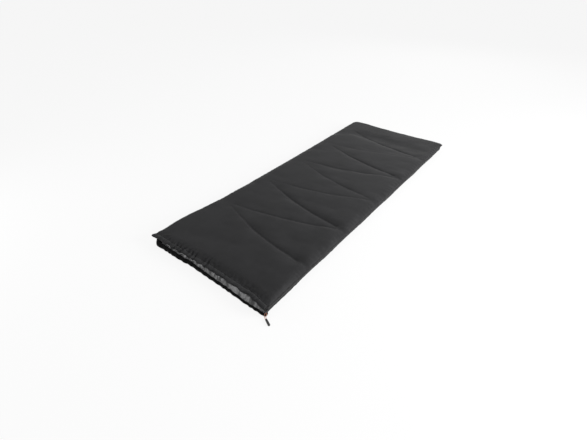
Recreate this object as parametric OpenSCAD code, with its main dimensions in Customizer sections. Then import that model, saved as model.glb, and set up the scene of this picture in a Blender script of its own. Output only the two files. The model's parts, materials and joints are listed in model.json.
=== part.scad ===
// Rectangular sleeping bag, quilted in a zigzag, lying flat and zipped shut.
// X runs across the bag with the zip at +X, Y from the mouth at -Y to the foot at +Y,
// and Z up from the floor. The origin is on the floor under the middle of the bag.

/* [Bag] */
// Length from the mouth edge to the foot seam
bag_length = 2000; // [1400:10:2400]
// Width from the fold to the zip
bag_width = 750; // [550:10:1000]
// Height of the under quilt, from the floor to its lining
under_loft = 28; // [20:1:45]
// Height of the top quilt, from its lining to the crown of its wadding
top_loft = 28; // [20:1:45]
// Rounding of the two foot corners, seen from above
foot_corner_r = 30; // [20:1:38]
// Thickness of the shell cloth and the lining cloth
cloth = 1; // [0.6:0.1:2]
// Gap left between pieces that are sewn or run together
fit = 0.3; // [0.2:0.05:0.5]

/* [Quilting] */
// Depth of the sewn channels in the top shell
channel_depth = 12; // [4:0.5:16]
// Depth of the sewn channels in the underside
under_channel_depth = 4; // [1:0.5:8]
// Distance between two zigzag points on the same side
zigzag_pitch = 340; // [250:5:450]
// How far the points on the left are drawn toward the mouth
zigzag_skew = 15; // [0:1:40]
// Distance from the zigzag points to the sides of the bag
zigzag_margin = 70; // [70:1:120]
// Distance from the mouth edge to the first zigzag point
first_stitch = 300; // [200:5:400]
// Distance from the foot seam to the end of the zigzag
last_stitch = 60; // [50:1:90]
// Distance between the two legs of the zigzag where they turn
point_gap = 24; // [12:1:40]
// Distance between two legs at which the wadding between them lies full
full_cell = 210; // [120:5:300]

/* [Edges] */
// Width over which a side rolls down to its seam
side_roll = 65; // [40:1:70]
// Length over which the foot rolls down to its seam
foot_roll = 40; // [40:1:48]
// Height of the sewn edge along the sides and the foot
seam_h = 6; // [4:0.5:9]
// Depth of the turned hems at the mouth
hem_depth = 25; // [20:1:60]
// Height of the top hem
top_hem_h = 24; // [14:1:28]

/* [Zip] */
// Thickness of the zip tapes
tape_t = 0.8; // [0.5:0.1:1.2]
// Width of the closed chain, over both rows of teeth
chain_h = 6; // [5:0.5:8]
// Thickness of the chain
chain_t = 3; // [2:0.1:4]
// Distance between two teeth on one tape
tooth_pitch = 6; // [5:0.5:9]
// Width of a tooth where it leaves its row
tooth_root_w = 2.1; // [1.4:0.1:2.1]
// Width of a tooth at its head
tooth_head_w = 2.9; // [2:0.1:2.9]
// Height of the row that carries the teeth
tooth_row_h = 1.6; // [1:0.1:1.8]
// Distance from the mouth edge to the start of the tapes
tape_inset = 3; // [1:0.5:8]
// Distance from the tape's end to its stop
stop_inset = 3; // [1:0.5:8]
// Length of a stop along the tape
stop_len = 3; // [2:0.5:5]
// Distance from the fold to the end of the zip along the foot
zip_end_inset = 45; // [40:1:90]

/* [Slider] */
// Length of the slider along the zip
slider_len = 14; // [12:0.5:18]
// Thickness of each of the slider's two plates
plate_t = 1.2; // [0.8:0.1:1.6]
// Width of the flanges that hold the teeth
flange_w = 1.1; // [0.8:0.1:1.5]
// Room between the slider and the linings on either side of it
slider_room = 0.6; // [0.4:0.1:4]
// Radius of the post that parts the two rows of teeth
neck_r = 1.5; // [1:0.1:2]
// Distance from the tip of that post to the first meshed tooth
mesh_lead = 1.8; // [1:0.1:4]
// Height of the two lugs that carry the spring and the cap
lug_h = 2.1; // [1.8:0.1:3]
// Length of each lug along the slider
lug_len = 1.6; // [1:0.1:2]
// Width of the lugs
lug_w = 2.6; // [2:0.1:3]
// Distance from each lug to the slider's end
lug_inset = 2; // [1.5:0.1:3]
// Thickness of the cap's sheet
cap_t = 0.7; // [0.5:0.1:1]
// Width of the cap
cap_w = 3.8; // [3.2:0.1:4.5]
// Thickness of the lock spring
spring_t = 0.3; // [0.2:0.05:0.4]
// Radius of the spring's locking pin
prong_r = 0.5; // [0.3:0.05:0.6]

/* [Pull] */
// Radius of the bar that the tab turns on
tab_bar_r = 0.8; // [0.6:0.05:0.9]
// Thickness of the tab's sheet
tab_t = 1.2; // [0.8:0.1:1.4]
// Distance from the bar to the tab's eye
tab_len = 16; // [13:1:30]
// Width of the tab
tab_w = 7.2; // [6.5:0.1:9]
// Radius of the tab's eye
tab_eye_r = 2; // [1.8:0.1:2.4]
// Angle that the tab stands out from the zip, from straight ahead
tab_angle = 10; // [6:1:90]
// Diameter of the pull cord
cord_d = 2.2; // [2:0.1:2.8]
// Length of the moulded grip
grip_len = 38; // [25:1:50]
// Width of the grip at its round end
grip_w = 11; // [9:0.5:14]
// Width of the grip where the cord goes in
grip_neck_w = 9.4; // [8.5:0.1:11]
// Thickness of the grip
grip_t = 7; // [5:0.5:7]
// Bevel along the grip's edges
grip_bevel = 1; // [0.5:0.1:1.5]
// Number of finger grooves on each face of the grip
grip_grooves = 4; // [2:1:5]
// Radius of the tool that cuts a groove
groove_r = 1.2; // [0.8:0.1:1.6]
// Distance between two grooves
groove_pitch = 4.5; // [3.5:0.1:5]

/* [Hidden] */
$fn = 48;

half_w = bag_width / 2;
half_l = bag_length / 2;
hem_back = -half_l + hem_depth;

// The slider passes between the two quilts, so its height sets how far apart the linings lie
slider_h = chain_h + 2 * (fit + flange_w);
sleeping_gap = slider_h + 2 * slider_room;
top_base = under_loft + sleeping_gap;
chain_z = under_loft + sleeping_gap / 2;
fold_x = -half_w - fit;

// Places along the zip
tape_x = half_w + fit + tape_t / 2;
corner_x = half_w - foot_corner_r;
corner_y = half_l - foot_corner_r;
tape_r = foot_corner_r + fit + tape_t / 2;
tape_start_y = -half_l + tape_inset;
stop_y = tape_start_y + stop_inset;
slider_y = stop_y + stop_len + fit + slider_len / 2;
chain_start_y = slider_y + mesh_lead;
zip_end_x = -half_w + zip_end_inset;
chain_end_x = zip_end_x + stop_inset + stop_len;

// Layers of the slider, measured outward from the middle of the chain
channel_half = chain_t / 2 + fit;
plate_out = channel_half + plate_t;
slit_half = tape_t / 2 + fit;
tab_pivot = plate_out + lug_h / 2;
lug_y = slider_len / 2 - lug_len - lug_inset;
cap_in = plate_out + lug_h + spring_t + fit;
cap_half = lug_y + lug_len + fit;
prong_y = max(lug_y - lug_len / 2 - prong_r, tab_bar_r + fit + prong_r);
window_end = norm([cap_half + cap_t, cap_in + cap_t - tab_pivot]) + 2 * fit;
tab_arm = cap_w / 2 + fit;

// Columns of the quilts' surface, as shares of the side roll from the edge inward
roll_shares = [0, 0.08, 0.35, 1];
inner_columns = 3;
columns = 2 * len(roll_shares) + inner_columns;

// Rows of the quilts' surface, from the mouth to the foot
mouth_rows = 3;
channel_rows = 4;
foot_rows = 2;
first_stitch_y = -half_l + first_stitch;
last_stitch_y = half_l - last_stitch;
last_point = floor((last_stitch_y - first_stitch_y - last_stitch) / (zigzag_pitch / 2));
legs = last_point + 1;
rows = concat(
    [for (i = [0:mouth_rows - 1]) ["mouth", 0, i / mouth_rows]],
    [for (n = [0:legs - 2], i = [0:channel_rows - 1]) ["channel", n, i / channel_rows]],
    [for (i = [0:foot_rows - 1]) ["foot", legs - 1, i / foot_rows]],
    [for (i = [len(roll_shares) - 1:-1:0]) ["roll", legs - 1, roll_shares[i]]]
);
row_count = len(rows);
hem_steps = 6;

// How squarely a cell's crown rises: 1 is a plain sine, and less is fuller at the stitches
crown_power = 0.7;
// How late the mouth panel falls to its first line of stitches
mouth_power = 4;

// Route of the pull cord, from the grip up through the tab's eye and down to the grip again:
// along the tab, across the tab, and up from the eye
cord_route = [
    [7, 3.5, -29], [5.8, 1.9, -29], [4.2, -0.2, -28.3], [2.9, -1.9, -26.2], [2.4, -2.6, -23.4],
    [2, -2.9, -17.5], [1.3, -2.9, -11], [0.5, -2.7, -6.5], [0.1, -2.6, -4], [0, -2.1, -1.9],
    [0, -0.9, -0.4],
    [0, 1, 0.4],
    [0, 2.9, 0.3],
    [0, 4.7, -0.6], [0, 5.9, -2.2], [-0.2, 6.3, -4.2], [-0.6, 5.9, -7], [-1.2, 4.7, -11],
    [-1.9, 3, -17.5], [-2.3, 1.5, -23.4], [-1.6, 1.3, -26.2], [0.1, 2.7, -28.3], [1.8, 4.9, -29],
    [3, 6.5, -29],
];
cord_sides = 8;

// The grip starts between the cord's two ends and runs on the way that they come in
cord_last = len(cord_route) - 1;
grip_start = (cord_route[0] + cord_route[cord_last]) / 2;
grip_way = cord_route[0] - cord_route[1];
grip_turn = atan2(grip_way[1], grip_way[0]);

// Zigzag stitching: legs run between points on the right (even) and on the left (odd)
function point_y(n) = n > last_point ? last_stitch_y
    : first_stitch_y + n * zigzag_pitch / 2 - (n % 2) * zigzag_skew;

function mix(a, b, share) = a + (b - a) * share;

function leg_y(n, across) =
    mix(point_y(n) + point_gap / 2, point_y(n + 1) - point_gap / 2, n % 2 == 0 ? 1 - across : across);

// Columns: which side a column belongs to, its share of the side roll and its place
function column_side(c) =
    c < len(roll_shares) ? -1 : c >= len(roll_shares) + inner_columns ? 1 : 0;

function column_share(c) =
    column_side(c) < 0 ? roll_shares[c] : column_side(c) > 0 ? roll_shares[columns - 1 - c] : 1;

function column_x(c, inset) = let (flat_half = half_w - inset - side_roll)
    column_side(c) == 0
        ? flat_half * (2 * (c - len(roll_shares) + 1) / (inner_columns + 1) - 1)
        : column_side(c) * (flat_half + (1 - column_share(c)) * side_roll);

function across_bag(x) = max(0, min(1, (x + half_w - zigzag_margin) / (bag_width - 2 * zigzag_margin)));

function row_y(row, across, inset) =
    row[0] == "mouth" ? mix(hem_back + fit, leg_y(0, across), row[2])
    : row[0] == "channel" ? mix(leg_y(row[1], across), leg_y(row[1] + 1, across), row[2])
    : row[0] == "foot" ? mix(leg_y(row[1], across), half_l - inset - foot_roll, row[2])
    : half_l - inset - row[2] * foot_roll;

// How full the wadding is, from 0 on a line of stitches to 1 in the middle of a wide cell
function fullness(row, across) =
    row[0] == "mouth" ? 1 - pow(row[2], mouth_power)
    : row[0] == "channel"
        ? let (spread = leg_y(row[1] + 1, across) - leg_y(row[1], across))
            pow(sin(180 * row[2]), crown_power) * min(1, sqrt(spread / full_cell))
    : row[0] == "foot" ? pow(sin(90 * row[2]), crown_power)
    : 1;

function roll_off(share) = sqrt(1 - pow(1 - share, 2));

// Height of the top shell over its lining
function top_height(row, across, share) =
    let (hem_dip = row[0] == "mouth" ? (top_loft - top_hem_h) * pow(1 - row[2], 2) : 0)
    let (full = top_loft - hem_dip - channel_depth * share * (1 - fullness(row, across)))
    mix(seam_h, full, roll_off(share) * (row[0] == "roll" ? roll_off(row[2]) : 1));

// Depth of the under shell below its lining: pressed flat on the floor between its channels
function under_height(row, across, share) =
    let (on_stitch = row[2] == 0 && (row[0] == "channel" || row[0] == "foot"))
    let (full = under_loft - (on_stitch ? under_channel_depth * share : 0))
    mix(seam_h, full, roll_off(share) * (row[0] == "roll" ? roll_off(row[2]) : 1));

// Bends the square foot corners into arcs
function round_corner(x, y) =
    let (dx = abs(x) - corner_x)
    let (dy = y - corner_y)
    dx <= 0 || dy <= 0 ? [x, y]
        : let (pull = max(dx, dy) / norm([dx, dy]))
            [sign(x) * (corner_x + dx * pull), corner_y + dy * pull];

// One point of a quilt's surface, drawn in by inset from the outside
function quilt_point(is_top, r, c, inset) =
    let (x = column_x(c, inset))
    let (share = column_share(c))
    let (across = across_bag(x))
    let (y = mix(row_y(rows[r], 0.5, inset), row_y(rows[r], across, inset), share))
    let (h = is_top ? top_height(rows[r], across, share) : under_height(rows[r], across, share))
    let (xy = round_corner(x, y))
    [xy[0], xy[1], is_top ? top_base + h - inset : under_loft - h + inset];

function quilt_grid(is_top, inset) =
    [for (r = [0:row_count - 1], c = [0:columns - 1]) quilt_point(is_top, r, c, inset)];

// The edge of the surface that is sewn down, from the mouth round the foot to the mouth again
edge_index = concat(
    [for (r = [0:row_count - 1]) r * columns],
    [for (c = [1:columns - 2]) (row_count - 1) * columns + c],
    [for (r = [row_count - 1:-1:0]) r * columns + columns - 1]
);
edge_count = len(edge_index);
grid_count = row_count * columns;

function edge_points(grid, z) = [for (i = edge_index) [grid[i][0], grid[i][1], z]];

function quad(a, b, c, d) = [[a, b, c], [a, c, d]];

function turned(faces, turn) = turn ? [for (f = faces) [f[0], f[2], f[1]]] : faces;

// Faces of the surface and of the skirt that falls from its edge, for points that start at first
function grid_faces(first) = [
    for (r = [0:row_count - 2], c = [0:columns - 2])
        let (i = first + r * columns + c)
        each quad(i, i + columns, i + columns + 1, i + 1)
];

function skirt_faces(first) = [
    for (k = [0:edge_count - 2])
        let (low = first + grid_count + k)
        each quad(first + edge_index[k], low, low + 1, first + edge_index[k + 1])
];

function ribbon_faces(a, b) = [for (k = [0:len(a) - 2]) each quad(a[k], b[k], b[k + 1], a[k + 1])];

// A sheet of cloth that follows the quilt's outside, open on its lining side and at the mouth
module quilt_shell(is_top, base_z) {
    outside = quilt_grid(is_top, 0);
    inside = quilt_grid(is_top, cloth);
    layer = grid_count + edge_count;
    mouth = concat([grid_count], [for (c = [0:columns - 1]) c], [layer - 1]);
    rim = [for (k = [0:edge_count - 1]) grid_count + k];
    faces = concat(
        grid_faces(0),
        skirt_faces(0),
        turned(concat(grid_faces(layer), skirt_faces(layer)), true),
        ribbon_faces([for (i = mouth) i + layer], mouth),
        ribbon_faces(rim, [for (i = rim) i + layer])
    );
    polyhedron(
        concat(outside, edge_points(outside, base_z), inside, edge_points(inside, base_z)),
        turned(faces, !is_top)
    );
}

// The wadding that fills the shell down to the lining
module quilt_fill(is_top, base_z) {
    outside = quilt_grid(is_top, cloth + fit);
    layer = grid_count + edge_count;
    faces = concat(
        grid_faces(0),
        skirt_faces(0),
        [for (c = [0:columns - 2]) [layer - 1, c, c + 1]],
        [[layer - 1, grid_count, 0]],
        [for (k = [0:edge_count - 2]) [layer, grid_count + k + 1, grid_count + k]],
        [[layer, grid_count, layer - 1]]
    );
    polyhedron(
        concat(outside, edge_points(outside, base_z), [[0, 0, base_z]]),
        turned(faces, !is_top)
    );
}

// The lining: a flat sheet inside the shell's edge
module lining(is_top, base_z) {
    grid = quilt_grid(is_top, cloth + fit);
    translate([0, 0, base_z])
        linear_extrude(cloth)
            polygon([for (i = edge_index) [grid[i][0], grid[i][1]]]);
}

// The hem rolled over the mouth end of a quilt, as a half round that follows its height
module mouth_hem(is_top) {
    ring = hem_steps + 1;
    points = [
        for (c = [0:columns - 1], i = [0:hem_steps])
            let (edge = quilt_point(is_top, 0, c, 0))
            let (base = is_top ? top_base : under_loft)
            let (turn = 90 - 180 * i / hem_steps)
            [
                edge[0],
                hem_back - hem_depth * cos(turn),
                mix(base, edge[2], (1 + sin(turn)) / 2),
            ]
    ];
    last = (columns - 1) * ring;
    faces = concat(
        [
            for (c = [0:columns - 2], i = [0:hem_steps])
                let (a = c * ring + i)
                let (b = c * ring + (i + 1) % ring)
                each quad(a, a + ring, b + ring, b)
        ],
        [for (i = [1:hem_steps - 1]) [0, i, i + 1]],
        [for (i = [1:hem_steps - 1]) [last, last + i + 1, last + i]]
    );
    polyhedron(points, turned(faces, !is_top));
}

// Lays a strip out along the zip: its section is drawn outward from the tape and up
module along_zip(start_y, end_x, thick, z0, z1) {
    inner_r = tape_r - thick / 2;
    translate([tape_x - thick / 2, start_y, z0])
        cube([thick, corner_y - start_y, z1 - z0]);
    translate([corner_x, corner_y, z0])
        rotate_extrude(angle = 90)
            translate([inner_r, 0])
                square([thick, z1 - z0]);
    translate([end_x, corner_y + inner_r, z0])
        cube([corner_x - end_x, thick, z1 - z0]);
}

// Outline of a row of teeth, pointing up from its row, with the teeth set at the given places
module tooth_row(length, places) {
    tip = chain_h - tooth_row_h - fit;
    polygon(concat(
        [[length, 0], [0, 0], [0, tooth_row_h]],
        [
            for (p = places)
                each [
                    [p - tooth_root_w / 2, tooth_row_h],
                    [p - tooth_head_w / 2, tip],
                    [p + tooth_head_w / 2, tip],
                    [p + tooth_root_w / 2, tooth_row_h],
                ]
        ],
        [[length, tooth_row_h]]
    ));
}

function tooth_places(length, shift) =
    [for (p = [tooth_pitch / 2 + shift:tooth_pitch:length - tooth_head_w / 2 - fit]) p];

// A row of teeth round the zip's two straight runs and its corner
module zip_teeth(shift) {
    side_len = corner_y - fit - chain_start_y;
    foot_len = corner_x - fit - chain_end_x;
    corner_teeth = round(tape_r * PI / 2 / tooth_pitch);
    corner_step = 90 / corner_teeth;
    translate([tape_x - chain_t / 2, chain_start_y, 0])
        rotate([90, 0, 90])
            linear_extrude(chain_t)
                tooth_row(side_len, tooth_places(side_len, shift));
    translate([corner_x, corner_y, 0]) {
        rotate_extrude(angle = 90)
            translate([tape_r - chain_t / 2, 0])
                square([chain_t, tooth_row_h]);
        for (i = [0:corner_teeth - 1])
            rotate([0, 0, corner_step * (i + 0.25 + shift / tooth_pitch)])
                translate([tape_r - chain_t / 2, 0, 0])
                    rotate([90, 0, 90])
                        linear_extrude(chain_t)
                            translate([-tooth_pitch / 2, 0])
                                tooth_row(tooth_pitch, [tooth_pitch / 2]);
    }
    translate([chain_end_x, corner_y + tape_r + chain_t / 2, 0])
        rotate([90, 0, 0])
            linear_extrude(chain_t)
                tooth_row(foot_len, tooth_places(foot_len, shift));
}

// A clip on the edge of a tape that hangs down from it
module stop_clip() {
    rotate([90, 0, 90])
        linear_extrude(stop_len)
            difference() {
                translate([-chain_t / 2, -tooth_row_h])
                    square([chain_t, 2 * tooth_row_h]);
                translate([-slit_half, -2 * tooth_row_h])
                    square([2 * slit_half, 2 * tooth_row_h]);
            }
}

// Puts a piece drawn on the lower tape's edge in place there, or turned over on the upper tape's
module on_lower_edge() {
    translate([0, 0, chain_z - chain_h / 2])
        children();
}

module on_upper_edge() {
    translate([0, 0, chain_z + chain_h / 2])
        mirror([0, 0, 1])
            children();
}

module mouth_stop() {
    translate([tape_x, stop_y + stop_len, 0])
        rotate([0, 0, -90])
            stop_clip();
}

module foot_stop() {
    translate([zip_end_x + stop_inset, corner_y + tape_r, 0])
        stop_clip();
}

// Puts a piece of the slider in place: outward, along the zip and up from the middle of the chain
module at_slider() {
    translate([tape_x, slider_y, chain_z])
        children();
}

// Stands an outline up along the zip: drawn along the zip and up, and thickened outward
module outward(from, thick) {
    translate([from, 0, 0])
        rotate([90, 0, 90])
            linear_extrude(thick)
                children();
}

// The slider's plate, seen from the side: wide at the mouth end, where the rows part
module slider_plate() {
    rear_h = slider_h - 2 * flange_w;
    taper_y = slider_len / 6;
    chamfer = flange_w;
    polygon([
        [-slider_len / 2, chamfer - slider_h / 2],
        [chamfer - slider_len / 2, -slider_h / 2],
        [taper_y, -slider_h / 2],
        [slider_len / 2, -rear_h / 2],
        [slider_len / 2, rear_h / 2],
        [taper_y, slider_h / 2],
        [chamfer - slider_len / 2, slider_h / 2],
        [-slider_len / 2, slider_h / 2 - chamfer],
    ]);
}

// The post between the plates, round in front and drawn to an edge where the rows meet
module slider_neck() {
    front = 2 * neck_r - slider_len / 2;
    translate([front, 0])
        circle(neck_r);
    polygon([[front, -neck_r], [0, 0], [front, neck_r]]);
}

module slider_flange(side) {
    intersection() {
        slider_plate();
        translate([-slider_len / 2, side > 0 ? slider_h / 2 - flange_w : -slider_h / 2])
            square([slider_len, flange_w]);
    }
}

// Turns a piece of the pull to the tab's angle: along the tab, across it and up
module at_tab() {
    at_slider()
        translate([tab_pivot, 0, 0])
            rotate([0, 0, tab_angle - 90])
                children();
}

module at_eye() {
    at_tab()
        translate([tab_len, 0, 0])
            children();
}

// A round cord swept along a route
function unit(v) = v / norm(v);

function heading(route, i) = unit(route[min(i + 1, len(route) - 1)] - route[max(i - 1, 0)]);

function square_to(v, along) = unit(v - (v * along) * along);

function side_way(route, i) =
    square_to(i == 0 ? [0, 1, 0] : side_way(route, i - 1), heading(route, i));

function ring_point(route, i, k) =
    let (turn = 360 * (k + 0.5) / cord_sides)
    let (over = side_way(route, i))
    let (up = cross(heading(route, i), over))
    route[i] + cord_d / 2 * (cos(turn) * over + sin(turn) * up);

module swept_cord(route) {
    rings = len(route);
    sides = cord_sides;
    polyhedron(
        [for (i = [0:rings - 1], k = [0:sides - 1]) ring_point(route, i, k)],
        concat(
            [
                for (i = [0:rings - 2], k = [0:sides - 1])
                    let (a = i * sides + k)
                    let (b = i * sides + (k + 1) % sides)
                    each quad(a, a + sides, b + sides, b)
            ],
            [for (k = [1:sides - 2]) [0, k, k + 1]],
            [for (k = [1:sides - 2]) let (e = (rings - 1) * sides) [e, e + k + 1, e + k]]
        )
    );
}

module under_shell() {
    color([0.2, 0.2, 0.21])
        quilt_shell(false, under_loft);
}

module under_fill() {
    color([0.93, 0.93, 0.92])
        quilt_fill(false, under_loft - cloth - fit);
}

module under_lining() {
    color([0.42, 0.42, 0.43])
        lining(false, under_loft - cloth);
}

module under_mouth_hem() {
    color([0.12, 0.12, 0.13])
        mouth_hem(false);
}

// The cloth that turns round the fold, open toward the inside of the bag
module side_fold() {
    outer_r = sleeping_gap / 2 - fit;
    color([0.16, 0.16, 0.17])
        translate([fold_x, hem_back, chain_z])
            rotate([-90, 0, 0])
                difference() {
                    cylinder(r = outer_r, h = corner_y - hem_back);
                    translate([0, 0, -fit])
                        cylinder(r = outer_r - cloth, h = corner_y - hem_back + 2 * fit);
                    translate([cloth, -outer_r, -fit])
                        cube([outer_r, 2 * outer_r, corner_y - hem_back + 2 * fit]);
                }
}

module lower_zip_tape() {
    color([0.1, 0.1, 0.1])
        along_zip(tape_start_y, zip_end_x, tape_t, under_loft - seam_h, chain_z - chain_h / 2);
}

module lower_zip_teeth() {
    color([0.07, 0.07, 0.07])
        on_lower_edge()
            zip_teeth(0);
}

module lower_mouth_stop() {
    color([0.07, 0.07, 0.07])
        on_lower_edge()
            mouth_stop();
}

module lower_foot_stop() {
    color([0.07, 0.07, 0.07])
        on_lower_edge()
            foot_stop();
}

module top_shell() {
    color([0.2, 0.2, 0.21])
        quilt_shell(true, top_base);
}

module top_fill() {
    color([0.93, 0.93, 0.92])
        quilt_fill(true, top_base + cloth + fit);
}

module top_lining() {
    color([0.42, 0.42, 0.43])
        lining(true, top_base);
}

module top_mouth_hem() {
    color([0.12, 0.12, 0.13])
        mouth_hem(true);
}

module upper_zip_tape() {
    color([0.1, 0.1, 0.1])
        along_zip(tape_start_y, zip_end_x, tape_t, chain_z + chain_h / 2, top_base + seam_h);
}

module upper_zip_teeth() {
    color([0.07, 0.07, 0.07])
        on_upper_edge()
            zip_teeth(tooth_pitch / 2);
}

module upper_mouth_stop() {
    color([0.07, 0.07, 0.07])
        on_upper_edge()
            mouth_stop();
}

module upper_foot_stop() {
    color([0.07, 0.07, 0.07])
        on_upper_edge()
            foot_stop();
}

module slider_body() {
    color([0.22, 0.22, 0.23])
        at_slider() {
            difference() {
                outward(channel_half, plate_t)
                    slider_plate();
                translate([0, prong_y, 0])
                    rotate([0, 90, 0])
                        cylinder(r = prong_r + fit, h = plate_out + fit);
            }
            outward(-plate_out, plate_t)
                slider_plate();
            outward(-channel_half, 2 * channel_half)
                slider_neck();
            for (side = [-1, 1]) {
                outward(slit_half, channel_half - slit_half)
                    slider_flange(side);
                outward(-channel_half, channel_half - slit_half)
                    slider_flange(side);
                translate([plate_out, side > 0 ? lug_y : -lug_y - lug_len, -lug_w / 2])
                    cube([lug_h, lug_len, lug_w]);
            }
        }
}

// The cap over the lugs: a strip bent down to the plate at both ends
module slider_cap() {
    outer_half = cap_half + cap_t;
    color([0.3, 0.3, 0.31])
        at_slider()
            translate([0, 0, -cap_w / 2])
                linear_extrude(cap_w)
                    difference() {
                        polygon([
                            [plate_out, -outer_half],
                            [cap_in, -outer_half],
                            [cap_in + cap_t, -cap_half],
                            [cap_in + cap_t, cap_half],
                            [cap_in, outer_half],
                            [plate_out, outer_half],
                        ]);
                        translate([0, -cap_half])
                            square([cap_in, 2 * cap_half]);
                    }
}

// The leaf on the lugs, with the pin that drops between the teeth
module lock_spring() {
    leaf_x = plate_out + lug_h;
    leaf_half = lug_y + lug_len;
    color([0.7, 0.7, 0.72])
        at_slider() {
            translate([leaf_x, -leaf_half, -lug_w / 2])
                cube([spring_t, 2 * leaf_half, lug_w]);
            translate([channel_half, prong_y, 0])
                rotate([0, 90, 0])
                    cylinder(r = prong_r, h = leaf_x + spring_t / 2 - channel_half);
        }
}

// A flat tab: two arms beside the cap, the bar that it turns on and an eye for the cord
module pull_tab() {
    color([0.25, 0.25, 0.26])
        at_tab() {
            rotate([90, 0, 0])
                linear_extrude(tab_t, center = true)
                    difference() {
                        union() {
                            translate([0, -tab_w / 2])
                                square([tab_len, tab_w]);
                            translate([tab_len, 0])
                                circle(tab_w / 2);
                        }
                        translate([-fit, -tab_arm])
                            square([window_end + fit, 2 * tab_arm]);
                        translate([tab_len, 0])
                            circle(tab_eye_r);
                    }
            cylinder(r = tab_bar_r, h = tab_w, center = true);
        }
}

module pull_cord() {
    color([0.85, 0.38, 0.12])
        at_eye()
            swept_cord(cord_route);
}

// The moulded grip on the ends of the cord, broader toward its free end
module cord_grip() {
    bevel = grip_bevel;
    color([0.08, 0.08, 0.08])
        at_eye()
            translate(grip_start)
                rotate([0, 0, grip_turn])
                    difference() {
                        hull()
                            for (step = [0, bevel]) {
                                translate([bevel - step, -grip_neck_w / 2 + bevel - step, step - grip_t / 2])
                                    cube([bevel, grip_neck_w - 2 * bevel + 2 * step, grip_t - 2 * step]);
                                translate([grip_len - grip_w / 2, 0, 0])
                                    cylinder(
                                        r = grip_w / 2 - bevel + step, h = grip_t - 2 * step,
                                        center = true, $fn = 32
                                    );
                            }
                        for (i = [0:grip_grooves - 1], side = [-1, 1])
                            translate([
                                grip_len - grip_w - i * groove_pitch, 0,
                                side * (grip_t + groove_r) / 2,
                            ])
                                rotate([90, 0, 0])
                                    cylinder(r = groove_r, h = 2 * grip_w, center = true, $fn = 24);
                    }
}

under_shell();
under_fill();
under_lining();
under_mouth_hem();
side_fold();
lower_zip_tape();
lower_zip_teeth();
lower_mouth_stop();
lower_foot_stop();
top_shell();
top_fill();
top_lining();
top_mouth_hem();
upper_zip_tape();
upper_zip_teeth();
upper_mouth_stop();
upper_foot_stop();
slider_body();
slider_cap();
lock_spring();
pull_tab();
pull_cord();
cord_grip();
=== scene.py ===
"""Looks of a rectangular quilted sleeping bag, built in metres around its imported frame."""

from __future__ import annotations

import json
import logging
import math
from dataclasses import dataclass, field
from enum import Enum
from typing import Iterable, Optional, Sequence

import bpy
import numpy as np
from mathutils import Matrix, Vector
from mathutils.bvhtree import BVHTree

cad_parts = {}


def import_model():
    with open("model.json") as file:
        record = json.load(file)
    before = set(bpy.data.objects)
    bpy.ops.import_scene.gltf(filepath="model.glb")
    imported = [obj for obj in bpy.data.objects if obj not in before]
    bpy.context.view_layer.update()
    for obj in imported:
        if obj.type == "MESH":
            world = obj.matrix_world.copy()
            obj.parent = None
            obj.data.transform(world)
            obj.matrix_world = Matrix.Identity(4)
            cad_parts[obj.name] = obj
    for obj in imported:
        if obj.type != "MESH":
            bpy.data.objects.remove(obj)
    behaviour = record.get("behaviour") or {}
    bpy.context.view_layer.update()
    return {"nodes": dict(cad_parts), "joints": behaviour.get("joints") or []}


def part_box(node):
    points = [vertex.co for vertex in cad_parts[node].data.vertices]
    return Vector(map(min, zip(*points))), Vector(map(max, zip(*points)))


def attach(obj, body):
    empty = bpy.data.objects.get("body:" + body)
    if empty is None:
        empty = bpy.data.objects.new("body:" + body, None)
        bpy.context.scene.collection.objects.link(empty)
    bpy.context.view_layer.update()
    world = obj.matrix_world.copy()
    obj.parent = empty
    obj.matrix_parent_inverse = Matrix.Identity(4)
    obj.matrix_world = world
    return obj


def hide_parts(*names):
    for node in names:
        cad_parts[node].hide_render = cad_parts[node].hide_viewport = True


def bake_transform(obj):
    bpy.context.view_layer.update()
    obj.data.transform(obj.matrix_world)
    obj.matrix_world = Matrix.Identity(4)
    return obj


LOG = logging.getLogger("sleeping_bag")
FLAT_MAP = "Flat"
TINY = 1e-12

Array = np.ndarray
Face = tuple[int, ...]


def mix(a: Array | float, b: Array | float, share: Array | float) -> Array | float:
    """Goes from a to b as share goes from 0 to 1."""
    return a + (b - a) * share


def smooth(value: Array | float, low: float, high: float) -> Array | float:
    """Rises from 0 at low to 1 at high with level ends."""
    share = np.clip((value - low) / (high - low), 0.0, 1.0)
    return share * share * (3.0 - 2.0 * share)


def bell(value: Array | float, centre: float, reach: float) -> Array | float:
    """A bump of height 1 at centre that fades over reach."""
    return np.exp(-(((value - centre) / reach) ** 2))


def sine_wave(place: Array, length: float, shift: Array | float = 0.0) -> Array:
    """A sine wave of a given length, shifted by an angle."""
    return np.sin(2.0 * math.pi * place / length + shift)


def patchy(values: Array, middle: float, spread: float, low: float, high: float) -> Array:
    """Turns waves of about -1 to 1 into a strength between two limits."""
    return np.clip(middle + spread * values, low, high)


@dataclass(frozen=True)
class Line:
    """A value that changes along the bag's width, eased through a few points."""

    points: tuple[tuple[float, float], ...]

    def at(self, x: Array | float) -> Array:
        """Gives the value at x.

        Args:
            x: Places across the bag.

        Returns:
            The eased values, level beyond the first and the last point.
        """
        places = np.asarray(x, dtype=float)
        value = np.full(places.shape, self.points[0][1])
        for (x0, v0), (x1, v1) in zip(self.points, self.points[1:]):
            value = value + (v1 - v0) * smooth(places, x0, x1)
        return value


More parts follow.
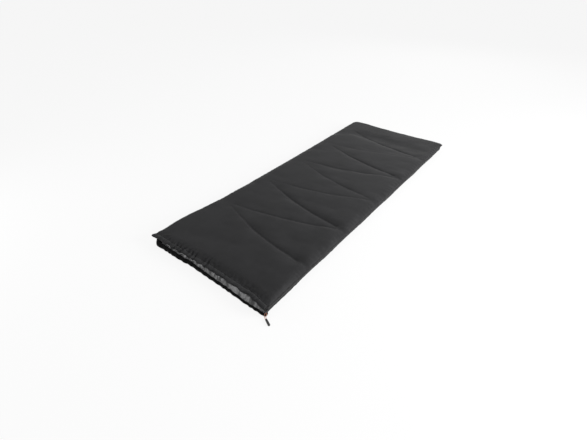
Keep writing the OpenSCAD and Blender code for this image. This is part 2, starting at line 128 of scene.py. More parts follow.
@dataclass(frozen=True)
class Ripple:
    """Unevenness of cloth as a seeded sum of sine waves, about 1 high."""

    seed: int
    wavelength: float
    waves: int = 7

    def at(self, x: Array, y: Array) -> Array:
        """Gives the height of the waves.

        Args:
            x: Places across the cloth.
            y: Places along the cloth.

        Returns:
            Heights of about -1 to 1.
        """
        draw = np.random.default_rng(self.seed)
        total = np.zeros(np.broadcast(x, y).shape)
        for _ in range(self.waves):
            way = draw.uniform(0.0, 2.0 * math.pi)
            length = self.wavelength * draw.uniform(0.7, 1.5)
            phase = draw.uniform(0.0, 2.0 * math.pi)
            total += np.sin((x * math.cos(way) + y * math.sin(way)) * 2.0 * math.pi / length + phase)
        return total / math.sqrt(self.waves)


GATHER_WAVER = Ripple(41, 0.075)
GATHER_STRENGTH = Ripple(43, 0.075)
GATHER_DETAIL = Ripple(71, 0.0168, 5)
LIP_WAVER = Ripple(83, 0.16, 5)
RIM_WAVER = Ripple(47, 0.10, 5)
CREASE_WAVER = Ripple(53, 0.12, 5)
CREASE_STRENGTH = Ripple(61, 0.15, 5)
SEAM_WAVER = Ripple(23, 0.09)
TUCK_PATCHES = Ripple(67, 0.12)
SHELL_CRUMPLE = Ripple(29, 0.060, 9)
LINING_CRUMPLE = Ripple(31, 0.07, 9)
FOLD_WAVER = Ripple(59, 0.2)


def refine(values: Array, axis: int) -> Array:
    """Doubles a grid along one axis with points on a smooth curve between its own.

    Args:
        values: The grid.
        axis: The axis to refine.

    Returns:
        A grid with 2n - 1 points along the axis.
    """
    line = np.moveaxis(values, axis, 0)
    first = 2.0 * line[:1] - line[1:2]
    last = 2.0 * line[-1:] - line[-2:-1]
    padded = np.concatenate([first, line, last])
    between = (9.0 * (padded[1:-2] + padded[2:-1]) - padded[:-3] - padded[3:]) / 16.0
    finer = np.empty((2 * len(line) - 1, *line.shape[1:]))
    finer[0::2] = line
    finer[1::2] = between
    return np.moveaxis(finer, 0, axis)


def soften(values: Array, times: int) -> Array:
    """Blurs a grid along both its axes, a little each time.

    Args:
        values: The grid.
        times: How often it is blurred.

    Returns:
        The softer grid.
    """
    for _ in range(times):
        for axis in (0, 1):
            line = np.moveaxis(values, axis, 0)
            padded = np.concatenate([line[:1], line, line[-1:]])
            values = np.moveaxis((padded[:-2] + 2.0 * line + padded[2:]) / 4.0, 0, axis)
    return values


def grid_normals(points: Array) -> Array:
    """Finds a grid's unit normals, up where its columns run along X and its rows along Y.

    Args:
        points: The grid.

    Returns:
        One normal for each point.
    """
    along = np.gradient(points, axis=0)
    across = np.gradient(points, axis=1)
    normals = np.cross(across, along)
    return normals / np.maximum(np.linalg.norm(normals, axis=2, keepdims=True), TINY)


def grid_faces(rows: int, cols: int, first: int = 0, turned: bool = False) -> list[Face]:
    """Four-sided faces of a grid of points.

    Args:
        rows: Points along the grid.
        cols: Points across the grid.
        first: Index of the grid's first point.
        turned: True where the faces look the other way.

    Returns:
        The faces as point indices.
    """
    faces = []
    for r in range(rows - 1):
        for c in range(cols - 1):
            a = first + r * cols + c
            face = (a, a + 1, a + cols + 1, a + cols)
            faces.append(face[::-1] if turned else face)
    return faces


def grid_border(rows: int, cols: int, first: int = 0) -> list[int]:
    """Lists the points round the edge of a grid, each once.

    Args:
        rows: Points along the grid.
        cols: Points across the grid.
        first: Index of the grid's first point.

    Returns:
        Point indices in order round the edge.
    """
    border = [first + c for c in range(cols)]
    border += [first + r * cols + cols - 1 for r in range(1, rows)]
    border += [first + (rows - 1) * cols + c for c in range(cols - 2, -1, -1)]
    border += [first + r * cols for r in range(rows - 2, 0, -1)]
    return border


def tube_faces(rings: int, sides: int) -> list[Face]:
    """Faces of a tube of rings, with a flat face over each end.

    Args:
        rings: Number of rings.
        sides: Points in each ring.

    Returns:
        The faces as point indices.
    """
    faces: list[Face] = []
    for r in range(rings - 1):
        for s in range(sides):
            a = r * sides + s
            b = r * sides + (s + 1) % sides
            faces.append((a, b, b + sides, a + sides))
    faces.append(tuple(range(sides - 1, -1, -1)))
    faces.append(tuple((rings - 1) * sides + s for s in range(sides)))
    return faces


def mesh_object(
    name: str,
    points: Array,
    faces: Sequence[Face],
    flat: Optional[Array] = None,
) -> bpy.types.Object:
    """Makes a mesh object at the origin.

    Args:
        name: Name of the piece.
        points: Points, three numbers each.
        faces: Faces as point indices.
        flat: Each point's place on the flat cloth, in metres, for the UV map.

    Returns:
        The new object, linked to the scene.
    """
    mesh = bpy.data.meshes.new(name)
    mesh.from_pydata(np.asarray(points).reshape(-1, 3).tolist(), [], faces)
    mesh.polygons.foreach_set("use_smooth", np.full(len(mesh.polygons), True))
    if flat is not None:
        corners = np.empty(len(mesh.loops), dtype=np.int32)
        mesh.loops.foreach_get("vertex_index", corners)
        layer = mesh.uv_layers.new(name=FLAT_MAP)
        layer.data.foreach_set("uv", np.asarray(flat, dtype=np.float32).reshape(-1, 2)[corners].ravel())
    mesh.update()
    obj = bpy.data.objects.new(name, mesh)
    bpy.context.scene.collection.objects.link(obj)
    return obj


def paint_faces(obj: bpy.types.Object, materials: Sequence[bpy.types.Material], index: Array) -> None:
    """Gives each face of an object one of several materials.

    Args:
        obj: The object.
        materials: Its materials.
        index: One material number for each face.
    """
    for material in materials:
        obj.data.materials.append(material)
    obj.data.polygons.foreach_set("material_index", np.asarray(index, dtype=np.int32))


class Wire:
    """A socket of a material's nodes, with arithmetic that adds Math nodes."""

    def __init__(self, paint: "Paint", socket: bpy.types.NodeSocket) -> None:
        """Keeps the socket and the tree that it is in."""
        self.paint = paint
        self.socket = socket

    def _math(self, operation: str, a: "Wire | float", b: "Wire | float") -> "Wire":
        """Adds one Math node."""
        return self.paint.add("ShaderNodeMath", {"operation": operation}, {0: a, 1: b})

    def __add__(self, other: "Wire | float") -> "Wire":
        """Adds."""
        return self._math("ADD", self, other)

    __radd__ = __add__

    def __sub__(self, other: "Wire | float") -> "Wire":
        """Takes away."""
        return self._math("SUBTRACT", self, other)

    def __rsub__(self, other: "Wire | float") -> "Wire":
        """Takes this away from a number."""
        return self._math("SUBTRACT", other, self)

    def __mul__(self, other: "Wire | float") -> "Wire":
        """Multiplies."""
        return self._math("MULTIPLY", self, other)

    __rmul__ = __mul__

    def larger(self, other: "Wire") -> "Wire":
        """Gives the larger of two."""
        return self._math("MAXIMUM", self, other)

    def sine(self) -> "Wire":
        """Gives the sine."""
        return self._math("SINE", self, 0.0)

    def above(self, level: float, soft: float) -> "Wire":
        """Rises from 0 to 1 round a level.

        Args:
            level: Where it is a half.
            soft: How far from the level it ends.

        Returns:
            The eased step.
        """
        settings = {"interpolation_type": "SMOOTHSTEP"}
        values = {"Value": self, "From Min": level - soft, "From Max": level + soft}
        return self.paint.add("ShaderNodeMapRange", settings, values)


class Paint:
    """A material's nodes, added one at a time."""

    NOISE_ROUGHNESS = 0.55

    def __init__(self, name: str, world: Optional[bpy.types.World] = None) -> None:
        """Starts with an empty tree.

        Args:
            name: Name of the material.
            world: The world to paint, where it isn't a material.
        """
        self.material = world or bpy.data.materials.new(name)
        self.material.use_nodes = True
        self.tree = self.material.node_tree
        self.tree.nodes.clear()

    def add(self, kind: str, settings: dict, values: dict, output: int | str = 0) -> Wire:
        """Adds a node.

        Args:
            kind: The node's type.
            settings: Properties of the node, set first.
            values: Values or wires for its input sockets, by name or number.
            output: The output socket to give back.

        Returns:
            A wire from that output.
        """
        node = self.tree.nodes.new(kind)
        for key, value in settings.items():
            setattr(node, key, value)
        for key, value in values.items():
            if isinstance(value, Wire):
                self.tree.links.new(value.socket, node.inputs[key])
            else:
                node.inputs[key].default_value = value
        return Wire(self, node.outputs[output])

    def flat_place(self) -> tuple[Wire, Wire, Wire]:
        """Gives a point's place on the flat cloth.

        Returns:
            The vector, and its two numbers.
        """
        place = self.add("ShaderNodeUVMap", {"uv_map": FLAT_MAP}, {})
        apart = self.add("ShaderNodeSeparateXYZ", {}, {0: place})
        node = apart.socket.node
        return place, Wire(self, node.outputs[0]), Wire(self, node.outputs[1])

    def object_place(self) -> Wire:
        """Gives a point's place in the object's own frame."""
        return self.add("ShaderNodeTexCoord", {}, {}, "Object")

    def noise(
        self, place: Wire, size: float, detail: float = 3.0, stretch: Sequence[float] = (1, 1, 1),
    ) -> Wire:
        """Adds a noise of a given grain.

        Args:
            place: The point that it is read at.
            size: Grain in metres.
            detail: Octaves of finer grain.
            stretch: Scale along each axis.

        Returns:
            Values from 0 to 1, mostly near a half.
        """
        scaled = self.add("ShaderNodeMapping", {}, {"Vector": place, "Scale": tuple(stretch)})
        values = {"Vector": scaled, "Scale": 1.0 / size, "Detail": detail, "Roughness": self.NOISE_ROUGHNESS}
        return self.add("ShaderNodeTexNoise", {"noise_dimensions": "3D"}, values)

    def shade(self, low: Sequence[float], high: Sequence[float], share: Wire) -> Wire:
        """Mixes two colours.

        Args:
            low: Colour where share is 0.
            high: Colour where share is 1.
            share: The wire that goes from one to the other.

        Returns:
            The mixed colour.
        """
        settings = {"data_type": "RGBA"}
        return self.add("ShaderNodeMix", settings, {0: share, 6: (*low, 1.0), 7: (*high, 1.0)}, 2)

    def bump(self, height: Wire, distance: float) -> Wire:
        """Turns a height into a normal."""
        values = {"Height": height, "Distance": distance, "Strength": 1.0}
        return self.add("ShaderNodeBump", {}, values)

    def finish(self, values: dict) -> bpy.types.Material:
        """Adds the surface shader and closes the tree.

        Args:
            values: Values or wires for the surface shader's sockets.

        Returns:
            The finished material.
        """
        return self.close(self.add("ShaderNodeBsdfPrincipled", {}, values))

    def seen(self) -> Wire:
        """Tells the rays that show a surface from those that only carry light.

        Returns:
            1 on rays from the camera, a reflection or a refraction, and 0 on the others.
        """
        camera = self.add("ShaderNodeLightPath", {}, {}, "Is Camera Ray")
        rays = camera.socket.node.outputs
        shiny = Wire(self, rays["Is Glossy Ray"]).larger(Wire(self, rays["Is Transmission Ray"]))
        return camera.larger(shiny)

    def close(self, surface: Wire, output: str = "ShaderNodeOutputMaterial") -> bpy.types.Material:
        """Ends the tree with a surface.

        Args:
            surface: The shader.
            output: Type of the output node.

        Returns:
            The finished material.
        """
        out = self.tree.nodes.new(output)
        self.tree.links.new(surface.socket, out.inputs["Surface"])
        return self.material


class Weave(Enum):
    """How a cloth's threads cross."""

    PLAIN = "plain"
    SATIN = "satin"
    RIBBED = "ribbed"


@dataclass(frozen=True)
class ClothFinish:
    """A woven cloth."""

    name: str
    slot: str
    color: tuple[float, float, float]
    weave: Weave
    thread: float
    roughness: float
    gloss: float
    sheen: float
    crumple: float
    patch: float = 0.11
    spread: float = 0.20
    streak: float = 0.7
    blend: float = 0.28

    SATIN_FLOAT = 0.2
    CREASE_GRAIN = 0.030
    SLUB_GRAIN = 0.004
    CREASE_STRETCH = (1.0, 0.55, 1.0)
    SLUB_STRETCH = (1.0, 0.15, 1.0)
    DYE_TINT = 0.8
    THREAD_TINT = 0.1
    SLUB_HEIGHT = 0.06
    THREAD_HEIGHT = 0.10
    DYE_ROUGHNESS = 0.16
    RELIEF_DEPTH = 0.001
    SHEEN_ROUGHNESS = 0.45

    def relief(self, u: Wire, v: Wire) -> Wire:
        """Height of the crossing threads, about 0 to 1.

        Args:
            u: Place across the cloth.
            v: Place along the cloth.

        Returns:
            The height.
        """
        turn = 2.0 * math.pi / self.thread
        if self.weave is Weave.SATIN:
            return ((u * (turn * self.SATIN_FLOAT)).sine() * (v * turn).sine()) * 0.5 + 0.5
        if self.weave is Weave.RIBBED:
            return (v * turn).sine() * 0.5 + 0.5
        return ((u * turn).sine() * (v * turn).sine()) * 0.5 + 0.5

    def material(self) -> bpy.types.Material:
        """Builds the cloth's material: weave, small creases, and patches of uneven dye that on the satins are
        painted sheen.

        Returns:
            The material.
        """
        paint = Paint(self.name)
        place, u, v = paint.flat_place()
        threads = self.relief(u, v)
        dye_and_sheen = paint.noise(place, self.patch, 3.0, (1.0, self.streak, 1.0))
        creases = paint.noise(place, self.CREASE_GRAIN, 3.0, self.CREASE_STRETCH)
        slubs = paint.noise(place, self.SLUB_GRAIN, 2.0, self.SLUB_STRETCH)
        dark = tuple(c * (1.0 - self.spread) for c in self.color)
        light = tuple(c * (1.0 + self.spread) for c in self.color)
        # Dye and painted sheen: the patches lighten and darken the base colour; on the satins they are
        # painted sheen, on the shell uneven dye.
        tint = dye_and_sheen.above(0.5, self.blend) * self.DYE_TINT
        # The slubs' tone is the yarn's own; the threads' part lightens the weave's crowns and darkens its
        # hollows as painted shade.
        tint = tint + slubs * self.THREAD_TINT + threads * self.THREAD_TINT
        height = creases * self.crumple + slubs * self.SLUB_HEIGHT + threads * self.THREAD_HEIGHT
        return paint.finish({
            "Base Color": paint.shade(dark, light, tint),
            "Roughness": (dye_and_sheen - 0.5) * self.DYE_ROUGHNESS + self.roughness,
            "Specular IOR Level": self.gloss,
            "Sheen Weight": self.sheen,
            "Sheen Roughness": self.SHEEN_ROUGHNESS,
            "Normal": paint.bump(height, self.RELIEF_DEPTH),
        })


@dataclass(frozen=True)
class MouldedFinish:
    """A moulded plastic or rubber."""

    name: str
    slot: str
    color: tuple[float, float, float]
    grain: float
    roughness: float
    depth: float

    SCUFF_GRAIN = 0.006
    SCUFF_STRETCH = (1.0, 1.0, 0.3)
    SCUFF_LEVEL = 0.58
    SCUFF_SOFT = 0.12
    SCUFF_ROUGHNESS = 0.3
    DARKER = 0.85
    LIGHTER = 1.35
    LIGHTEN = 0.002

    def material(self) -> bpy.types.Material:
        """Builds the material: a fine moulded grain, with scuffs that change its gloss.

        Returns:
            The material.
        """
        paint = Paint(self.name)
        place = paint.object_place()
        grain = paint.noise(place, self.grain, 2.0)
        scuffs = paint.noise(place, self.SCUFF_GRAIN, 5.0, self.SCUFF_STRETCH)
        dark = tuple(c * self.DARKER for c in self.color)
        light = tuple(c * self.LIGHTER + self.LIGHTEN for c in self.color)
        return paint.finish({
            "Base Color": paint.shade(dark, light, scuffs.above(self.SCUFF_LEVEL, self.SCUFF_SOFT)),
            "Roughness": (scuffs - 0.5) * self.SCUFF_ROUGHNESS + self.roughness,
            "Normal": paint.bump(grain, self.depth),
        })


@dataclass(frozen=True)
class MetalFinish:
    """A plated or lacquered metal."""

    name: str
    slot: str
    color: tuple[float, float, float]
    bare: tuple[float, float, float]
    roughness: float
    metallic: float
    wear: float

    RUB_GRAIN = 0.004
    RUB_SOFT = 0.05
    SCRATCH_GRAIN = 0.0012
    SCRATCH_STRETCH = (1.0, 0.08, 1.0)
    SCRATCH_ROUGHNESS = 0.25
    SCRATCH_DEPTH = 0.00004

    def material(self) -> bpy.types.Material:
        """Builds the material: lacquer that rubs through to bare metal, with fine scratches.

        Returns:
            The material.
        """
        paint = Paint(self.name)
        place = paint.object_place()
        rubbed = paint.noise(place, self.RUB_GRAIN, 5.0).above(self.wear, self.RUB_SOFT)
        scratches = paint.noise(place, self.SCRATCH_GRAIN, 3.0, self.SCRATCH_STRETCH)
        return paint.finish({
            "Base Color": paint.shade(self.color, self.bare, rubbed),
            "Metallic": rubbed * (1.0 - self.metallic) + self.metallic,
            "Roughness": (scratches - 0.5) * self.SCRATCH_ROUGHNESS + self.roughness,
            "Normal": paint.bump(scratches, self.SCRATCH_DEPTH),
        })


@dataclass(frozen=True)
class BraidFinish:
    """The braided sheath of a thin cord."""

    name: str
    slot: str
    color: tuple[float, float, float]
    fleck: tuple[float, float, float]
    pitch: float
    strands: int

    FUZZ_GRAIN = 0.0008
    STRAND_DEPTH = 0.0003
    STRAND_TINT = 0.7
    FUZZ_TINT = 0.4
    FUZZ_HEIGHT = 0.3
    FUZZ_ROUGHNESS = 0.2
    ROUGHNESS = 0.6
    SHEEN = 0.25

    def material(self) -> bpy.types.Material:
        """Builds the material: two crossing sets of strands, darker where they dive as painted shade in the
        hollows, with random flecks from a fine noise.

        Returns:
            The material.
        """
        paint = Paint(self.name)
        place, around, along = paint.flat_place()
        turn = 2.0 * math.pi
        one = (around * (turn * self.strands) + along * (turn / self.pitch)).sine()
        two = (around * (turn * self.strands) - along * (turn / self.pitch)).sine()
        relief = (one * two) * 0.5 + 0.5
        fuzz = paint.noise(place, self.FUZZ_GRAIN, 2.0)
        # Painted shade: the colour runs to the dark orange where the strands dive; the fuzz adds random
        # flecks.
        tint = relief * self.STRAND_TINT + fuzz * self.FUZZ_TINT
        return paint.finish({
            "Base Color": paint.shade(self.fleck, self.color, tint),
            "Roughness": fuzz * self.FUZZ_ROUGHNESS + self.ROUGHNESS,
            "Sheen Weight": self.SHEEN,
            "Normal": paint.bump(relief + fuzz * self.FUZZ_HEIGHT, self.STRAND_DEPTH),
        })


SHELL = ClothFinish(
    "shell_cloth", "shell_cloth", (0.022, 0.022, 0.023), Weave.PLAIN,
    thread=0.0009, roughness=0.66, gloss=0.10, sheen=0.03, crumple=0.30,
)
# The lining's base-colour patches are partly painted sheen.
LINING = ClothFinish(
    "lining_satin", "lining_cloth", (0.085, 0.085, 0.087), Weave.SATIN,
    thread=0.0007, roughness=0.32, gloss=0.40, sheen=0.0, crumple=0.40, patch=0.05, spread=0.30,
)
# The lip's satin is the lining cloth painted twice as light, with strong light and dark patches that are
# painted sheen of crushed satin.
LIP_PAINTED_SHEEN = ClothFinish(
    "lip_satin", "lining_cloth", (0.170, 0.170, 0.173), Weave.SATIN,
    thread=0.0007, roughness=0.30, gloss=0.40, sheen=0.0, crumple=0.60,
    patch=0.017, spread=0.88, streak=0.40, blend=0.11,
)
# The lower lip's black binding, made darker than any cloth as painted shade, since its front stands in
# shadow.
RIM_BINDING_AND_SHADE = ClothFinish(
    "rim_cloth", "hem_cloth", (0.0025, 0.0025, 0.0027), Weave.PLAIN,
    thread=0.0009, roughness=0.70, gloss=0.05, sheen=0.0, crumple=0.25,
)
WADDING = ClothFinish(
    "wadding", "wadding", (0.80, 0.80, 0.78), Weave.PLAIN,
    thread=0.004, roughness=0.95, gloss=0.1, sheen=0.3, crumple=1.2,
)
TAPE = ClothFinish(
    "zip_tape", "zip_tape", (0.010, 0.010, 0.010), Weave.RIBBED,
    thread=0.0012, roughness=0.8, gloss=0.2, sheen=0.05, crumple=0.05,
)
THREAD = MouldedFinish(
    "stitch_thread", "shell_cloth", (0.016, 0.016, 0.017), grain=0.0004, roughness=0.7, depth=0.0002,
)
LINING_THREAD = MouldedFinish(
    "lining_thread", "lining_cloth", (0.060, 0.060, 0.062), grain=0.0004, roughness=0.6, depth=0.0002,
)
ZIP_PLASTIC = MouldedFinish(
    "zip_plastic", "zip_plastic", (0.011, 0.011, 0.012), grain=0.0006, roughness=0.42, depth=0.00003,
)
GRIP_RUBBER = MouldedFinish(
    "grip_rubber", "grip_rubber", (0.012, 0.012, 0.012), grain=0.0005, roughness=0.62, depth=0.00008,
)
SLIDER_METAL = MetalFinish(
    "slider_lacquer", "slider_metal", (0.022, 0.022, 0.024), bare=(0.45, 0.43, 0.40),
    roughness=0.38, metallic=0.55, wear=0.70,
)
SPRING_STEEL = MetalFinish(
    "spring_steel", "spring_steel", (0.52, 0.52, 0.53), bare=(0.62, 0.62, 0.62),
    roughness=0.30, metallic=1.0, wear=0.60,
)
CORD_BRAID = BraidFinish(
    "cord_braid", "cord_orange", (0.50, 0.15, 0.05), fleck=(0.20, 0.05, 0.018), pitch=0.0022, strands=4,
)


class Tree:
    """A Geometry Nodes tree with named sizes, used once and turned into a plain mesh."""

    def __init__(self, name: str) -> None:
        """Starts the tree with one geometry input and one output.

        Args:
            name: Name of the tree.
        """
        self.group = bpy.data.node_groups.new(name, "GeometryNodeTree")
        ports = self.group.interface
        ports.new_socket("Geometry", in_out="INPUT", socket_type="NodeSocketGeometry")
        ports.new_socket("Geometry", in_out="OUTPUT", socket_type="NodeSocketGeometry")
        self.start = self.group.nodes.new("NodeGroupInput")
        self.sizes: dict[str, float] = {}

    def size(self, name: str, value: float) -> bpy.types.NodeSocket:
        """Adds a named size.

        Args:
            name: Name of the size.
            value: The size in metres.

        Returns:
            Its socket.
        """
        self.group.interface.new_socket(name, in_out="INPUT", socket_type="NodeSocketFloat")
        self.sizes[name] = value
        return self.start.outputs[name]

    def add(self, kind: str, settings: dict, values: dict) -> bpy.types.Node:
        """Adds a node.

        Args:
            kind: The node's type.
            settings: Properties of the node, set first.
            values: Values or output sockets for its inputs.

        Returns:
            The node.
        """
        node = self.group.nodes.new(kind)
        for key, value in settings.items():
            setattr(node, key, value)
        for key, value in values.items():
            if isinstance(value, bpy.types.NodeSocket):
                self.group.links.new(value, node.inputs[key])
            else:
                node.inputs[key].default_value = value
        return node

    def triple(self, x: object, y: object, z: object) -> bpy.types.NodeSocket:
        """Joins three numbers or sockets into a vector."""
        return self.add("ShaderNodeCombineXYZ", {}, {0: x, 1: y, 2: z}).outputs[0]

    def repeat(
        self, item: bpy.types.NodeSocket, pitch: bpy.types.NodeSocket, pivot: str,
    ) -> bpy.types.NodeSocket:
        """Puts copies of an item along the lines, each turned to its line.

        Args:
            item: The item's geometry.
            pitch: Distance from one copy to the next.
            pivot: The axis that a copy turns round.

        Returns:
            The copies.
        """
        path = self.add("GeometryNodeMeshToCurve", {}, {"Mesh": self.start.outputs["Geometry"]})
        places = self.add("GeometryNodeCurveToPoints", {"mode": "LENGTH"}, {
            "Curve": path.outputs[0], "Length": pitch,
        })
        turned = self.add("FunctionNodeAlignRotationToVector", {"axis": "X", "pivot_axis": pivot}, {
            "Vector": places.outputs["Tangent"],
        })
        copies = self.add("GeometryNodeInstanceOnPoints", {}, {
            "Points": places.outputs[0], "Instance": item, "Rotation": turned.outputs[0],
        })
        return copies.outputs[0]

    def close(self, geometry: bpy.types.NodeSocket, material: bpy.types.Material) -> None:
        """Makes the instances real, gives them a material and ends the tree.

        Args:
            geometry: The instances.
            material: Their material.
        """
        real = self.add("GeometryNodeRealizeInstances", {}, {0: geometry})
        dressed = self.add("GeometryNodeSetMaterial", {}, {"Geometry": real.outputs[0], "Material": material})
        out = self.group.nodes.new("NodeGroupOutput")
        self.group.links.new(dressed.outputs[0], out.inputs[0])

    def grow(self, name: str, points: Sequence[Array]) -> bpy.types.Object:
        """Runs the tree on some lines.

        Args:
            name: Name of the finished piece.
            points: Lines, each an array of points.

        Returns:
            A plain mesh object.
        """
        edges = []
        first = 0
        for line in points:
            edges += [(first + i, first + i + 1) for i in range(len(line) - 1)]
            first += len(line)
        path = bpy.data.meshes.new(name + "_path")
        path.from_pydata(np.concatenate(points).tolist(), edges, [])
        obj = bpy.data.objects.new(name + "_path", path)
        bpy.context.scene.collection.objects.link(obj)
        modifier = obj.modifiers.new("Repeat", "NODES")
        modifier.node_group = self.group
        for port in self.group.interface.items_tree:
            if port.in_out == "INPUT" and port.name in self.sizes:
                modifier[port.identifier] = self.sizes[port.name]
        ready = bpy.context.evaluated_depsgraph_get()
        mesh = bpy.data.meshes.new_from_object(obj.evaluated_get(ready))
        mesh.name = name
        bpy.data.objects.remove(obj)
        piece = bpy.data.objects.new(name, mesh)
        bpy.context.scene.collection.objects.link(piece)
        return piece


@dataclass(frozen=True)
class Stitches:
    """A row of short threads that lie along a line."""

    pitch: float = 0.0052
    length: float = 0.0040
    radius: float = 0.00045

    def sew(self, name: str, lines: Sequence[Array], material: bpy.types.Material) -> bpy.types.Object:
        """Lays stitches along lines.

        Args:
            name: Name of the piece.
            lines: Lines that the stitches follow.
            material: The thread's material.

        Returns:
            One mesh of all the stitches.
        """
        tree = Tree(name)
        pitch = tree.size("Pitch", self.pitch)
        half = tree.size("Half length", self.length / 2.0)
        radius = tree.size("Radius", self.radius)
        ball = tree.add("GeometryNodeMeshUVSphere", {}, {"Segments": 6, "Rings": 4, "Radius": 1.0})
        stitch = tree.add("GeometryNodeTransform", {}, {
            "Geometry": ball.outputs[0], "Scale": tree.triple(half, radius, radius),
        })
        row = tree.repeat(stitch.outputs[0], pitch, "AUTO")
        soft = tree.add("GeometryNodeSetShadeSmooth", {}, {"Geometry": row})
        tree.close(soft.outputs[0], material)
        return tree.grow(name, lines)


@dataclass(frozen=True)
class Bag:
    """Sizes of the bag, read from the frame."""

    half_w: float
    half_l: float
    under_base: float
    top_base: float
    top_crown: float

    @classmethod
    def from_frame(cls) -> "Bag":
        """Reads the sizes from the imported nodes.

        Returns:
            The bag.
        """
        _, under_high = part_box("under_shell")
        top_low, top_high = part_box("top_shell")
        return cls(under_high.x, under_high.y, under_high.z, top_low.z, top_high.z)


@dataclass(frozen=True)
class Quilting:
    """The zigzag line of stitches that both quilts are sewn with."""

    bag: Bag
    first: float = 0.300
    pitch: float = 0.340
    skew: float = 0.015
    margin: float = 0.070
    fold_margin: float = 0.115
    last: float = 0.060
    turn: float = 0.024
    bow: float = 0.024
    fold_tail: float = 0.4
    pulls: tuple[float, ...] = (0.95, 0.85, 1.0, 0.55, 0.55, 0.65, 0.85, 0.30, 0.75, 0.12)

    def legs(self) -> list[tuple[Array, Array]]:
        """Gives the legs of the zigzag, before they bow.

        Returns:
            Pairs of ends in X and Y, from the mouth to the foot.
        """
        sides = (self.bag.half_w - self.margin, self.fold_margin - self.bag.half_w)
        start = -self.bag.half_l + self.first
        end = self.bag.half_l - self.last
        count = int((end - start - self.last) / (self.pitch / 2.0)) + 1
        turns = [start + n * self.pitch / 2.0 - (n % 2) * self.skew for n in range(count)] + [end]
        legs = []
        for n in range(count):
            a = np.array([sides[n % 2], turns[n] + self.turn / 2.0])
            b = np.array([sides[1 - n % 2], turns[n + 1] - self.turn / 2.0])
            legs.append((a, b))
        return legs

    def path(self, step: float = 0.008) -> Array:
        """Gives the whole zigzag as one line of close points.

        Args:
            step: Distance from one point to the next.

        Returns:
            Points in X and Y.
        """
        corners = [end for leg in self.legs() for end in leg]
        points = [corners[0]]
        for a, b in zip(corners, corners[1:]):
            count = max(1, int(np.linalg.norm(b - a) / step))
            points += [self.on_leg(a, b, i / count) for i in range(1, count + 1)]
        return np.array(points)

    def sag(self, share: Array | float) -> Array | float:
        """Gives how far a leg bows towards the mouth, most in its middle."""
        return self.bow * np.sin(math.pi * share)

    def on_leg(self, a: Array, b: Array, share: float) -> Array:
        """Gives a point of a leg, or of the short turn between two legs.

        Args:
            a: Where the leg starts.
            b: Where it ends.
            share: How far along it the point is, from 0 to 1.

        Returns:
            The point in X and Y.
        """
        point = mix(a, b, share)
        long_leg = abs(b[0] - a[0]) > self.turn
        return point - np.array([0.0, self.sag(share) if long_leg else 0.0])

    def tails(self, x: Array, y: Array, reach: float) -> Array:
        """Gives the creases that run on from the zigzag's points over the sides.

        Args:
            x: Places across the bag.
            y: Places along the bag.
            reach: How far a crease fades.

        Returns:
            Depths from 0 to 1, deeper on the zip side.
        """
        depth = np.zeros(x.shape)
        corners = [end for leg in self.legs() for end in leg]
        turns = [corners[0], *((a + b) / 2.0 for a, b in zip(corners[1:-1:2], corners[2::2]))]
        for corner in turns:
            side = 1.0 if corner[0] > 0.0 else -1.0
            beyond = np.maximum(corner[0] * side - x * side, 0.0)
            gap = np.hypot(y - corner[1], beyond)
            strength = 1.0 if side > 0.0 else self.fold_tail
            depth = np.maximum(depth, strength * bell(gap, 0.0, reach))
        return depth

    def nearest(self, x: Array, y: Array) -> tuple[Array, Array, Array]:
        """Measures to the nearest leg.

        Args:
            x: Places across the bag.
            y: Places along the bag.

        Returns:
            The distance to the stitches, the place along them, and how firmly that leg is drawn in.
        """
        best = np.full(x.shape, np.inf)
        along = np.zeros(x.shape)
        pull = np.zeros(x.shape)
        run = 0.0
        for n, (a, b) in enumerate(self.legs()):
            length = float(np.linalg.norm(b - a))
            way = (b - a) / length
            straight = y + self.sag(np.clip((x - a[0]) / (b[0] - a[0]), 0.0, 1.0))
            place = np.clip((x - a[0]) * way[0] + (straight - a[1]) * way[1], 0.0, length)
            gap = np.hypot(x - a[0] - way[0] * place, straight - a[1] - way[1] * place)
            along = np.where(gap < best, run + place, along)
            pull = np.where(gap < best, self.pulls[n % len(self.pulls)], pull)
            best = np.minimum(gap, best)
            run += length
        return best, along, pull


class Layer(Enum):
    """Which of the two quilts."""

    TOP = 1
    UNDER = -1


SWELLS = {
    Layer.TOP: (Ripple(17, 0.34), Ripple(77, 0.15)),
    Layer.UNDER: (Ripple(19, 0.34), Ripple(79, 0.15)),
}


@dataclass
class Sheet:
    """A grid of cloth: its points, and each point's place on the flat cloth."""

    points: Array
    flat: Array

    def finer(self) -> "Sheet":
        """Gives the same cloth with twice as many points each way.

        Returns:
            The finer cloth.
        """
        points = refine(refine(self.points, 0), 1)
        flat = refine(refine(self.flat, 0), 1)
        return Sheet(points, flat)

    def flat_size(self) -> tuple[float, float]:
        """Gives the cloth's flat width and length."""
        span = np.ptp(self.flat.reshape(-1, 2), axis=0)
        return float(span[0]), float(span[1])


def lay_flat(points: Array) -> Array:
    """Gives each point of a grid its place on the flat cloth.

    Args:
        points: The grid.

    Returns:
        Distances across, from the middle, and along, from the first row.
    """
    rows, cols = points.shape[:2]
    across = np.linalg.norm(np.diff(points[rows // 2], axis=0), axis=1)
    along = np.linalg.norm(np.diff(points[:, cols // 2], axis=0), axis=1)
    u = np.concatenate([[0.0], np.cumsum(across)])
    v = np.concatenate([[0.0], np.cumsum(along)])
    return np.stack(np.meshgrid(u - u[cols // 2], v), axis=-1)


